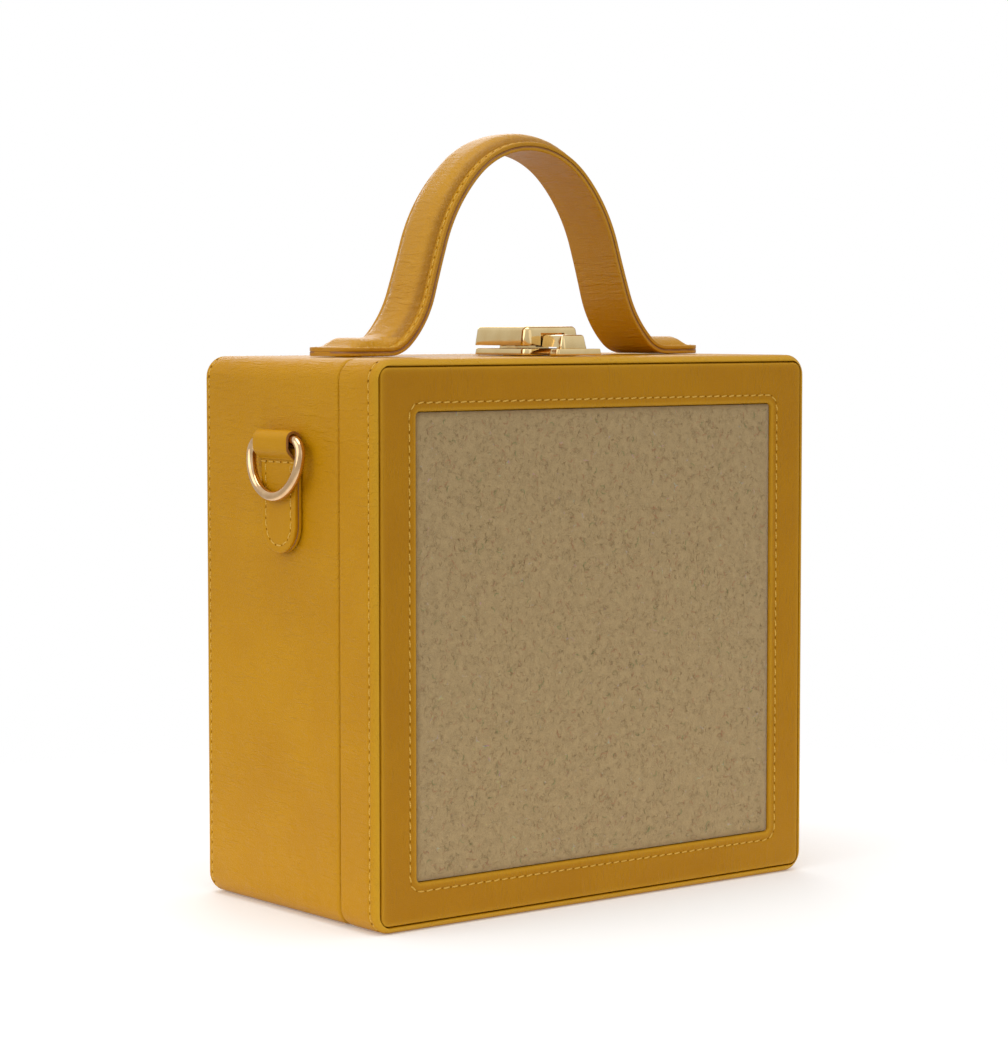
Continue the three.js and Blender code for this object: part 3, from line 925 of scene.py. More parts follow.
def feltPiece():
    across = round((feltHigh.x - feltLow.x) / feltCloth["cell"])
    up = round((feltHigh.z - feltLow.z) / feltCloth["cell"])
    thick = feltHigh.y - feltLow.y
    vertices, faces = [], []
    for k in range(up + 1):
        for i in range(across + 1):
            x = feltLow.x + (feltHigh.x - feltLow.x) * i / across
            z = feltLow.z + (feltHigh.z - feltLow.z) * k / up
            inside = 0 < i < across and 0 < k < up
            nap = feltCloth["nap"] * (1 + wave(x / 2.9, 0.4, z / 2.9)) if inside else 0
            vertices.append((x, feltLow.y + nap, z))
    row = across + 1
    for k in range(up):
        for i in range(across):
            corner = k * row + i
            faces.append((corner, corner + 1, corner + row + 1, corner + row))
    made = newPiece("felt_window", vertices, faces, [felt])
    if made.data.polygons[0].normal.y > 0:
        made.data.flip_normals()
    wall = made.modifiers.new("thickness", "SOLIDIFY")
    wall.thickness = thick * mm
    wall.offset = -1
    return applyModifiers(made)


def fibreTree():
    tree = bpy.data.node_groups.new("looseFibres", "GeometryNodeTree")
    sockets = [
        ("Geometry", "NodeSocketGeometry", None),
        ("Density", "NodeSocketFloat", 100000.0),
        ("Length", "NodeSocketFloat", 2 * mm),
        ("Radius", "NodeSocketFloat", 0.05 * mm),
        ("Seed", "NodeSocketInt", 1),
        ("Material", "NodeSocketMaterial", None),
    ]
    for title, kind, value in sockets:
        socket = tree.interface.new_socket(title, in_out="INPUT", socket_type=kind)
        if value is not None:
            socket.default_value = value
    tree.interface.new_socket("Geometry", in_out="OUTPUT", socket_type="NodeSocketGeometry")
    given = tree.nodes.new("NodeGroupInput").outputs
    result = tree.nodes.new("NodeGroupOutput").inputs
    spots = addNode(
        tree,
        "GeometryNodeDistributePointsOnFaces",
        {"Mesh": given["Geometry"], "Density": given["Density"], "Seed": given["Seed"]},
    )
    profile = addNode(tree, "GeometryNodeCurvePrimitiveCircle", {"Resolution": 3, "Radius": given["Radius"]})
    shapes = tree.nodes.new("GeometryNodeJoinGeometry")
    half = maths(tree, "MULTIPLY", given["Length"], 0.5)
    for bend, lift in ((0.7, 0.10), (-1.1, 0.05), (1.7, 0.14)):
        left = addNode(tree, "ShaderNodeCombineXYZ", {"X": maths(tree, "MULTIPLY", half, -1.0)})
        top = addNode(
            tree,
            "ShaderNodeCombineXYZ",
            {"Y": maths(tree, "MULTIPLY", half, bend), "Z": maths(tree, "MULTIPLY", half, lift * 2)},
        )
        right = addNode(tree, "ShaderNodeCombineXYZ", {"X": half, "Y": maths(tree, "MULTIPLY", half, 0.2)})
        line = addNode(
            tree,
            "GeometryNodeCurveQuadraticBezier",
            {"Resolution": 5, "Start": left.outputs[0], "Middle": top.outputs[0], "End": right.outputs[0]},
        )
        tube = addNode(
            tree,
            "GeometryNodeCurveToMesh",
            {"Curve": line.outputs[0], "Profile Curve": profile.outputs[0], "Fill Caps": True},
        )
        kept = addNode(tree, "GeometryNodeGeometryToInstance", {"Geometry": tube.outputs[0]})
        tree.links.new(kept.outputs[0], shapes.inputs[0])
    spin = addNode(
        tree,
        "FunctionNodeRandomValue",
        {"Min": (-0.12, -0.12, 0.0), "Max": (0.12, 0.12, 6.283), "Seed": given["Seed"]},
        data_type="FLOAT_VECTOR",
    )
    shares = {2: 0.55, 3: 1.25, "Seed": given["Seed"]}
    size = addNode(tree, "FunctionNodeRandomValue", shares, data_type="FLOAT")
    pick = addNode(tree, "FunctionNodeRandomValue", {4: 0, 5: 2, "Seed": given["Seed"]}, data_type="INT")
    placed = addNode(
        tree,
        "GeometryNodeInstanceOnPoints",
        {
            "Points": spots.outputs["Points"],
            "Instance": shapes.outputs[0],
            "Pick Instance": True,
            "Instance Index": pick.outputs[2],
            "Rotation": spots.outputs["Rotation"],
            "Scale": size.outputs[1],
        },
    )
    turned = addNode(
        tree,
        "GeometryNodeRotateInstances",
        {"Instances": placed.outputs[0], "Rotation": spin.outputs[0], "Local Space": True},
    )
    tone = addNode(tree, "FunctionNodeRandomValue", {"Seed": given["Seed"]}, data_type="FLOAT")
    marked = addNode(
        tree,
        "GeometryNodeStoreNamedAttribute",
        {"Geometry": turned.outputs[0], "Name": "fibreTone", "Value": tone.outputs[1]},
        data_type="FLOAT",
        domain="INSTANCE",
    )
    real = addNode(tree, "GeometryNodeRealizeInstances", {"Geometry": marked.outputs[0]})
    painted = addNode(
        tree, "GeometryNodeSetMaterial", {"Geometry": real.outputs[0], "Material": given["Material"]}
    )
    tree.links.new(painted.outputs[0], result["Geometry"])
    return tree


def growFrom(name, source, tree, values):
    # the tree's result on the source mesh, as a plain mesh of its own
    made = bpy.data.objects.new(name, source)
    bpy.context.collection.objects.link(made)
    change = made.modifiers.new("grow", "NODES")
    change.node_group = tree
    for item in tree.interface.items_tree:
        if item.in_out == "INPUT" and item.name in values:
            change[item.identifier] = values[item.name]
    return applyModifiers(made)


def fibreBed():
    # the strip of felt face that fibres grow from, a little inside its edges
    edge = feltCloth["fibreInset"]
    low, high = feltLow + Vector((edge, 0, edge)), feltHigh - Vector((edge, 0, edge))
    mesh = bpy.data.meshes.new("fibreBed")
    y = feltLow.y + feltCloth["nap"] * 0.6
    corners = [(low.x, y, low.z), (high.x, y, low.z), (high.x, y, high.z), (low.x, y, high.z)]
    mesh.from_pydata([Vector(c) * mm for c in corners], [], [(0, 1, 2, 3)])
    return mesh


feltWindow = feltPiece()
bed = fibreBed()
feltArea = (feltHigh.x - feltLow.x) * (feltHigh.z - feltLow.z) * mm * mm
fibres = growFrom(
    "felt_fibres",
    bed,
    fibreTree(),
    {
        "Density": feltCloth["fibres"] / feltArea,
        "Length": feltCloth["fibreLength"] * mm,
        "Radius": feltCloth["fibreRadius"] * mm,
        "Seed": feltCloth["seed"],
        "Material": fibre,
    },
)
fibres.data.shade_smooth()
settle(feltWindow, "lid", "felt", "felt_panel")
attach(fibres, "lid")
print("felt made")


# Handle: a strap below, a padded leather above

strapLow, strapHigh = boxOf("handle_strap")
handle = {
    "rise": 68.3,
    "width": 23.0,
    "footWidth": 25.0,
    "footCorner": 8.0,
    "strap": 1.3,
    "gap": 0.3,
    "leather": 1.3,
    "padRise": 3.1,
    "padInset": 2.8,
    "padEnd": 4.0,
    "padFade": 5.0,
    "strapRound": 0.3,
    "flangeRound": 0.35,
    "stitchIn": 1.7,
    "stitchDip": 0.2,
    "pitch": 0.9,
    # each bend of one leg from the crown down: its turn in degrees, and its radius
    "crownBends": [(45, 31.0), (27.5, 55.0)],
    "footBends": [(-29.5, 38.0), (-43, 13.0)],
}
footReach = strapHigh.x
seatTop = strapLow.z


def legLine():
    # the strap's underside from the crown to the foot's end: x, drop below the crown, slope, length walked
    points = [(0.0, 0.0, 0.0)]

    def walk(turnDegrees, radius):
        x, drop, angle = points[-1]
        turn = radians(turnDegrees)
        side = 1 if turn > 0 else -1
        count = ceil(abs(turn) * radius / handle["pitch"])
        for i in range(1, count + 1):
            slope = angle + turn * i / count
            points.append(
                (
                    x + side * radius * (sin(slope) - sin(angle)),
                    drop + side * radius * (cos(angle) - cos(slope)),
                    slope,
                )
            )

    def dropOf(bends, angle):
        total = 0.0
        for turn, radius in bends:
            after = angle + radians(turn)
            total += abs(cos(angle) - cos(after)) * radius
            angle = after
        return total

    for bend in handle["crownBends"]:
        walk(*bend)
    x, drop, angle = points[-1]
    left = handle["rise"] - dropOf(handle["crownBends"], 0.0) - dropOf(handle["footBends"], angle)
    length = left / sin(angle)
    count = ceil(length / handle["pitch"])
    for i in range(1, count + 1):
        points.append((x + length * cos(angle) * i / count, drop + left * i / count, angle))
    for bend in handle["footBends"]:
        walk(*bend)
    x, drop, angle = points[-1]
    run = footReach - x
    count = ceil(run / handle["pitch"])
    for i in range(1, count + 1):
        # closer together towards the end, where the corners round off
        share = 1 - (1 - i / count) ** 1.6
        points.append((x + run * share, drop, 0.0))
    return points


def handleStations():
    leg = []
    walked = 0.0
    before = None
    for x, drop, slope in legLine():
        if before:
            walked += hypot(x - before[0], drop - before[1])
        before = (x, drop)
        leg.append(
            {
                "x": x,
                "z": seatTop + handle["rise"] - drop,
                "outX": sin(slope),
                "outZ": cos(slope),
                "toEnd": footReach - x,
                "high": 1 - drop / handle["rise"],
                "walked": walked,
            }
        )
    mirrored = [{**s, "x": -s["x"], "outX": -s["outX"], "walked": -s["walked"]} for s in leg[1:]]
    return mirrored[::-1] + leg


def smooth(low, high, value):
    share = min(1.0, max(0.0, (value - low) / (high - low)))
    return share * share * (3 - 2 * share)


def halfWidth(station, inset=0.0):
    broad = smooth(0, 0.5, station["high"])
    half = (handle["footWidth"] + (handle["width"] - handle["footWidth"]) * broad) / 2
    corner = handle["footCorner"]
    into = min(max(0.0, corner - station["toEnd"]), corner - inset)
    return half - corner + sqrt(max(0.0, (corner - inset) ** 2 - into ** 2))


def placeOn(station, y, height):
    return Vector((station["x"] + station["outX"] * height, y, station["z"] + station["outZ"] * height))


def strapWrinkle(station, y):
    bends = smooth(0.1, 0.0, abs(station["high"])) + smooth(0.55, 0.95, station["high"])
    return -0.16 * bends * abs(wave(station["walked"] / 1.5, y / 14, 8.8))


def padWrinkle(station, share, y):
    # small folds across the pad, deepest where the leg bends out to the foot and along its front side
    foot = smooth(0.42, 0.08, station["high"])
    sideways = smooth(0.45, 0.95, abs(share))
    across = abs(wave(station["walked"] / 1.25, y / 7, 4.4))
    lumps = wave(station["walked"] / 9, y / 8, 1.2)
    pucker = abs(wave(station["walked"] / 2.1, y / 2.6, 6.1))
    return -0.42 * foot * across - 0.75 * sideways * pucker + 0.10 * lumps


def strapRing(station):
    half = halfWidth(station)
    top = handle["strap"] + handle["gap"] - 0.05
    r = handle["strapRound"]
    count = 14
    ring = []
    for i in range(count + 1):
        share = 1 - 2 * i / count
        y = share * (half - r)
        edgeLine = -0.12 * exp(-(((half - abs(y) - 1.3) / 0.25) ** 2))
        inside = smooth(0.0, 2.0, half - abs(y))
        ring.append(placeOn(station, y, -edgeLine - strapWrinkle(station, y) * inside))
    line = top - r - 0.3  # the paint line between the two leathers starts here
    for height in (r, line, top - r):
        ring.append(placeOn(station, -half, height))
    ring += [placeOn(station, -half + r, top), placeOn(station, half - r, top)]
    for height in (top - r, line, r):
        ring.append(placeOn(station, half, height))
    return ring


strapSides = [1 if i in (16, 17, 19, 20) else 0 for i in range(23)]


def padRing(station):
    half = halfWidth(station)
    low = handle["strap"] + handle["gap"]
    flange = low + handle["leather"]
    fadeEnd = handle["padEnd"] + handle["padFade"]
    rise = handle["padRise"] * smooth(handle["padEnd"], fadeEnd, station["toEnd"])
    domeHalf = half * (1 - handle["padInset"] / (handle["width"] / 2))
    r = handle["flangeRound"]
    dipDepth = handle["stitchDip"]
    ring = [placeOn(station, y, h) for y, h in ((-half + 0.1, low), (half - 0.1, low), (half, low + 0.15))]
    for turnDegrees in (0, 30, 60, 90):
        turn = radians(turnDegrees)
        ring.append(placeOn(station, half - r + r * cos(turn), flange - r + r * sin(turn)))
    flangeSteps = 4
    for i in range(1, flangeSteps + 1):
        y = half - r + (domeHalf - half + r) * i / flangeSteps
        dip = dipDepth * exp(-(((half - y - handle["stitchIn"]) / 0.5) ** 2))
        ring.append(placeOn(station, y, flange - dip))
    domeSteps = 26
    for i in range(1, domeSteps):
        share = cos(pi * i / domeSteps)
        full = (1 - abs(share) ** 4.0) ** 0.75
        folds = padWrinkle(station, share, share * domeHalf) * min(1.0, rise / 2)
        height = flange + rise * full + folds * full ** 0.5
        ring.append(placeOn(station, share * domeHalf, height))
    for i in range(flangeSteps):
        y = -domeHalf - (half - r - domeHalf) * i / flangeSteps
        dip = dipDepth * exp(-(((half + y - handle["stitchIn"]) / 0.5) ** 2))
        ring.append(placeOn(station, y, flange - dip))
    for turnDegrees in (90, 60, 30, 0):
        turn = radians(turnDegrees)
        ring.append(placeOn(station, -half + r - r * cos(turn), flange - r + r * sin(turn)))
    ring.append(placeOn(station, -half, low + 0.15))
    return ring


def shadeCreases(made):
    # the band where the pad falls to its flange is darker: painted shade in its creases
    half = handle["width"] / 2
    middle = half - handle["padInset"] - 0.6
    values = []
    for vertex in made.data.vertices:
        off = abs(vertex.co.y) / mm - middle
        values.append(0.75 * exp(-((off / 1.1) ** 2)) * (1 if vertex.co.z / mm > seatTop + 6 else 0))
    made.data.attributes.new("shade", "FLOAT", "POINT").data.foreach_set("value", values)


stations = handleStations()
strapRings = [strapRing(s) for s in stations]
strapPiece = loftPiece("handle_strap_leather", strapRings, [gripLeather, edgePaint], sideMaterial=strapSides)
padPiece = loftPiece("handle_pad_leather", [padRing(s) for s in stations], [gripLeather])
shadeCreases(padPiece)
settle(strapPiece, "case", "leather", "handle_strap")
settle(padPiece, "case", "leather", "handle_pad")
print("handle made")


# Side loops, their tabs and the D-rings

def jointPlace(name):
    joint = next(j for j in frame["joints"] if j["name"] == name)
    return Vector(joint["pos_m"]) / mm


tabLow, tabHigh = boxOf("tab_right")
ringLow, ringHigh = boxOf("ring_right")
ringAxis = jointPlace("ring_right")
tabs = {
    "leather": 2.7,
    "loopLeather": 1.15,
    "loopFoot": 148.4,
    "plateTop": 151.2,
    "edgeRound": 0.45,
    "seamSink": 0.14,
    "stitchIn": 2.5,
    "round": 0.3,
    "clearance": 0.25,
}
wire = ringHigh.z - ringAxis.z
tabHalf = tabHigh.y
wallX = tabLow.x
tabFace = wallX + tabs["leather"]


def tabOutline(inset):
    # the tab seen from the side: straight edges and a round tip, drawn from the top round the tip
    radius = tabHalf - inset
    tipZ = tabLow.z + tabHalf
    top = tabs["plateTop"] - inset
    points = [(radius, top - (top - tipZ) * i / 16) for i in range(16)]
    points += [(radius * cos(pi * i / 32), tipZ - radius * sin(pi * i / 32)) for i in range(33)]
    points += [(-radius, tipZ + (top - tipZ) * i / 16) for i in range(1, 17)]
    points += [(-radius + 2 * radius * i / 8, top) for i in range(1, 8)]
    return points


def tabPlate(name):
    t = tabs
    middle = wallX + t["leather"] / 2  # two layers, with a groove between them
    rows = [(wallX, 3.0), (wallX, 0.2), (wallX + 0.15, 0.0)]
    rows += [(middle - 0.2, 0.0), (middle, t["seamSink"]), (middle + 0.2, 0.0)]
    for i in range(6):
        turn = radians(90 * i / 5)
        rows.append((tabFace - t["edgeRound"] * (1 - sin(turn)), t["edgeRound"] * (1 - cos(turn))))
    for inset in (1.0, 1.5, 2.0, 2.5, 3.0, 3.5, 5.0, 7.0):
        sink = t["seamSink"] * exp(-(((inset - t["stitchIn"]) / 0.5) ** 2))
        rows.append((tabFace - sink, inset))
    rings = [[(x, y, z) for y, z in tabOutline(inset)] for x, inset in rows]
    bands = [1 if k in (3, 4) else 0 for k in range(len(rows))]
    return loftPiece(name, rings, [tabLeather, edgePaint], bands)


def loopBand(name):
    # one layer of leather from the tab's face, up over the ring's bar and down behind it
    inner = wire + tabs["clearance"]
    thick = tabs["loopLeather"]
    centreX, centreZ = ringAxis.x, ringAxis.z
    path = []
    foot = (tabFace - 0.15, tabs["loopFoot"] - 0.6)
    knee = (centreX + inner, centreZ - 2.6)
    for i in range(9):
        share = i / 8
        ease = share * share * (3 - 2 * share)
        path.append((foot[0] + (knee[0] - foot[0]) * ease, foot[1] + (knee[1] - foot[1]) * share))
    for i in range(19):
        turn = radians(180 * i / 18)
        path.append((centreX + inner * cos(turn), centreZ + inner * sin(turn)))
    for i in range(1, 5):
        path.append((centreX - inner, centreZ - i))
    bandStations = []
    for k, (x, z) in enumerate(path):
        x0, z0 = path[max(0, k - 1)]
        x1, z1 = path[min(len(path) - 1, k + 1)]
        size = hypot(x1 - x0, z1 - z0)
        bandStations.append({"x": x, "z": z, "outX": (z1 - z0) / size, "outZ": -(x1 - x0) / size})
    half = tabHalf
    r = tabs["round"]
    rings = []
    for k, station in enumerate(bandStations):
        full = thick * (0.75 + 0.25 * min(1.0, k / 4))
        ring = [placeOn(station, half * (1 - 2 * i / 10) * 0.97, 0.0) for i in range(11)]
        ring += [placeOn(station, y, h) for y, h in ((-half, 0.15), (-half, full - r))]
        for turnDegrees in (30, 60):
            turn = radians(turnDegrees)
            ring.append(placeOn(station, -half + r - r * cos(turn), full - r + r * sin(turn)))
        for i in range(11):
            y = (half - r) * (2 * i / 10 - 1)
            puff = 0.06 * wave(station["z"] / 3, y / 5, 2.5)
            ring.append(placeOn(station, y, full - abs(puff)))
        for turnDegrees in (60, 30):
            turn = radians(turnDegrees)
            ring.append(placeOn(station, half - r + r * cos(turn), full - r + r * sin(turn)))
        ring += [placeOn(station, y, h) for y, h in ((half, full - r), (half, 0.15))]
        rings.append(ring)
    made = loftPiece(name, rings, [tabLeather, edgePaint])
    for polygon in made.data.polygons:
        if abs(polygon.normal.y) > 0.9:  # the cut edges
            polygon.material_index = 1
    return made


dRing = {"corner": 5.0, "sides": 24}


def ringPiece(name):
    halfBow = ringHigh.y - wire
    lowest = ringLow.z + wire - ringAxis.z  # the bow's lowest centre, below the bar
    bowX = ringHigh.x - wire
    drop = abs(lowest)
    reach = bowX - ringAxis.x
    lean = reach / drop
    flatDrop = hypot(drop, reach)
    centre = halfBow - flatDrop
    corner = dRing["corner"]
    cornerY = sqrt((halfBow - corner) ** 2 - (-corner - centre) ** 2)
    start = atan2(-corner - centre, cornerY)
    outline = []

    def arcTo(cy, cz, radius, a0, a1, count):
        for i in range(count):
            turn = a0 + (a1 - a0) * i / count
            outline.append((cy + radius * cos(turn), cz + radius * sin(turn)))

    arcTo(cornerY, -corner, corner, pi / 2, start, 14)
    arcTo(0.0, centre, halfBow, start, -pi - start, 96)
    arcTo(-cornerY, -corner, corner, -pi - start, -3 * pi / 2, 14)
    for i in range(20):
        outline.append((-cornerY + 2 * cornerY * i / 20, 0.0))
    tilt = Matrix.Rotation(-lean, 3, "Y")
    rings = []
    count = len(outline)
    for k in range(count):
        y0, z0 = outline[k - 1]
        y1, z1 = outline[(k + 1) % count]
        size = hypot(y1 - y0, z1 - z0)
        outY, outZ = (z1 - z0) / size, -(y1 - y0) / size
        y, z = outline[k]
        ring = []
        for i in range(dRing["sides"]):
            turn = 2 * pi * i / dRing["sides"]
            reachOut = wire * cos(turn)
            point = Vector((wire * sin(turn), y + outY * reachOut, z + outZ * reachOut))
            ring.append(tilt @ point + ringAxis)
        rings.append(ring)
    return loftPiece(name, rings, [ringGold], capped=False, sharp=60)


def onLeft(made):
    # turned half round to the other side of the bag, with its place in its mesh
    made.data.transform(Matrix.Rotation(pi, 4, "Z"))
    return made


for side in ("left", "right"):
    tab = joinPieces("tab_" + side + "_leather", [tabPlate("plate"), loopBand("loop")])
    ring = ringPiece("ring_" + side + "_wire")
    if side == "left":
        onLeft(tab)
        onLeft(ring)
    settle(tab, "case", "leather", "tab_" + side)
    settle(ring, "ring_" + side, "ring_gold", "ring_" + side)
print("side loops and rings made")


# Clasp: base plate with its lug, lever, and the keeper on the lid

leverLow, leverHigh = boxOf("clasp_lever")
baseLow, baseHigh = boxOf("clasp_base")
keeperLow, keeperHigh = boxOf("keeper")
leverAxis = jointPlace("lever")
clasp = {
    "corner": 3.0,
    "bevel": 1.8,
    "plate": 2.2,
    "wall": 1.8,
    "keeperCorner": 1.0,
    "keeperLength": 4.65,
    "tongueInset": 2.5,
    "tongueHalf": 5.6,
    "lugHalf": 7.5,
    "lugLength": 9.0,
    "lugCorner": 0.4,
    "boreRadius": 1.3,
    "pinRadius": 1.0,
    "tongueCorner": 1.6,
    "tongueRound": 0.9,
    "room": 0.3,  # beside pieces that move past each other
    "edge": 0.22,
    "draft": 0.15,  # the sides lean in by this share of their height, as cast fittings do
}
plateSteps = {"arc": 10, "alongX": 6, "alongZ": 6}


def plateRing(halfX, y0, y1, corner, z):
    # a rounded rectangle lying flat
    outline = roundedRing(halfX, (y1 - y0) / 2, corner, 0, (y0 + y1) / 2, plateSteps)
    return [(x, y, z) for x, y in outline]


def flatPiece(name, halfX, y0, y1, corner, z0, z1, edge):
    rings = []
    lean = clasp["draft"] * (z1 - z0)
    for z, inset in (
        (z0, edge),
        (z0 + edge * 0.3, edge * 0.3),
        (z0 + edge, 0.0),
        (z1 - edge, lean),
        (z1 - edge * 0.3, lean + edge * 0.3),
        (z1, lean + edge),
    ):
        rings.append(plateRing(halfX - inset, y0 + inset, y1 - inset, max(0.05, corner - inset), z))
    return loftPiece(name, rings, [gold], sharp=50)


def leverPiece():
    halfX = leverHigh.x
    y0, y1 = leverLow.y, leverHigh.y
    low, high = leverLow.z, leverHigh.z
    c = clasp
    wall = c["wall"]
    cavityTop = high - wall
    cavityBack = leverAxis.y + c["lugLength"] / 4 + 2 * c["room"]
    # outside: bottom edge, side, bevel and top
    rows = [(low, 0.2), (low + 0.06, 0.06), (low + 0.2, 0.0)]
    lean = c["draft"] * (high - low - c["bevel"])
    for i in range(9):
        turn = radians(90 * i / 8)
        rows.append((high - c["bevel"] * (1 - sin(turn)), lean + c["bevel"] * (1 - cos(turn))))
    rows.append((high, lean + c["bevel"] + 0.8))
    rings = [plateRing(halfX - i, y0 + i, y1 - i, max(0.8, c["corner"] - i), z) for z, i in rows]
    body = loftPiece("clasp_lever_cap", rings, [gold], sharp=50)
    inner = halfX - wall
    cavity = flatPiece("cavity", inner, y0 + wall, cavityBack, 0.8, low - 1, cavityTop, 0.05)
    notchTop = keeperHigh.z + 2 * c["room"]
    notchHalf = c["tongueHalf"] + c["room"]
    notch = flatPiece("notch", notchHalf, y0 - 2, y0 + wall + 1, 0.3, low - 1, notchTop, 0.05)
    pinHalf = halfX - wall / 2
    socket = barAlongX("socket", c["boreRadius"], -pinHalf, pinHalf, leverAxis.y, leverAxis.z, [gold])
    return cutAway(body, [cavity, notch, socket])


def claspBasePiece():
    c = clasp
    plateTop = baseLow.z + c["plate"]
    plate = flatPiece("plate", baseHigh.x, baseLow.y, baseHigh.y, c["corner"], baseLow.z, plateTop, c["edge"])
    lugBack = leverAxis.y + c["lugLength"] / 4
    lugFront = lugBack - c["lugLength"]
    lug = flatPiece("lug", c["lugHalf"], lugFront, lugBack, c["lugCorner"], plateTop - 1, baseHigh.z, 0.2)
    bore = barAlongX("bore", c["boreRadius"], -baseHigh.x, baseHigh.x, leverAxis.y, leverAxis.z, [gold])
    lug = cutAway(lug, [bore])
    return joinPieces("clasp_base_plate", [plate, lug])


def keeperPiece():
    c = clasp
    plateTop = keeperLow.z + c["plate"]
    backY = keeperLow.y + c["keeperLength"]
    low, high = keeperLow, keeperHigh
    plate = flatPiece("plate", high.x, low.y, backY, c["keeperCorner"], low.z, plateTop, c["edge"])
    frontY = low.y + c["tongueInset"]
    under = plateTop - 0.8  # inside the plate
    tongue = flatPiece(
        "tongue", c["tongueHalf"], frontY, high.y, c["tongueCorner"], under, high.z, c["tongueRound"]
    )
    gap = flatPiece("gap", 12, backY, high.y + 1, 0.3, low.z - 3, plateTop + 2 * c["room"], 0.05)
    tongue = cutAway(tongue, [gap])
    return joinPieces("keeper_plate", [plate, tongue])


settle(leverPiece(), "lever", "gold", "clasp_lever")
settle(claspBasePiece(), "case", "gold", "clasp_base")
settle(keeperPiece(), "lid", "gold", "keeper")
pinLow, pinHigh = boxOf("clasp_pin")
pinRadius = clasp["pinRadius"]
claspPin = barAlongX("clasp_pin_rod", pinRadius, pinLow.x, pinHigh.x, leverAxis.y, leverAxis.z, [gold])
settle(claspPin, "case", "gold", "clasp_pin")
print("clasp made")


# Hinges in the bottom seam

def hingeLeafPiece(name, node):
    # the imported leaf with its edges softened
    mesh = frame["nodes"][node].data.copy()
    mesh.materials.clear()
    mesh.materials.append(gold)
    made = finishMesh(name, mesh, 30)
    soften = made.modifiers.new("edges", "BEVEL")
    soften.width = hinge["leafRound"] * mm
    soften.segments = 2
    soften.limit_method = "ANGLE"
    soften.angle_limit = radians(50)
    applyModifiers(made)
    return made


for number in range(1, len(hinge["places"]) + 1):
    for body in ("case", "lid"):
        node = "hinge_leaf_" + body + "_" + str(number)
        settle(hingeLeafPiece(node + "_plate", node), body, "gold", node)
    node = "hinge_pin_" + str(number)
    low, high = boxOf(node)
    radius = hinge["pinRadius"]
    rod = barAlongX(node + "_rod", radius, low.x, high.x, bag["seam"], hinge["height"], [gold], 20)
    settle(rod, "case", "gold", node)
print("hinges made")


# Stitches

stitch = {
    "pitch": 3.4,
    "length": 2.5,
    "radius": 0.25,
    "holeRadius": 0.4,
    "slant": 0.14,
}


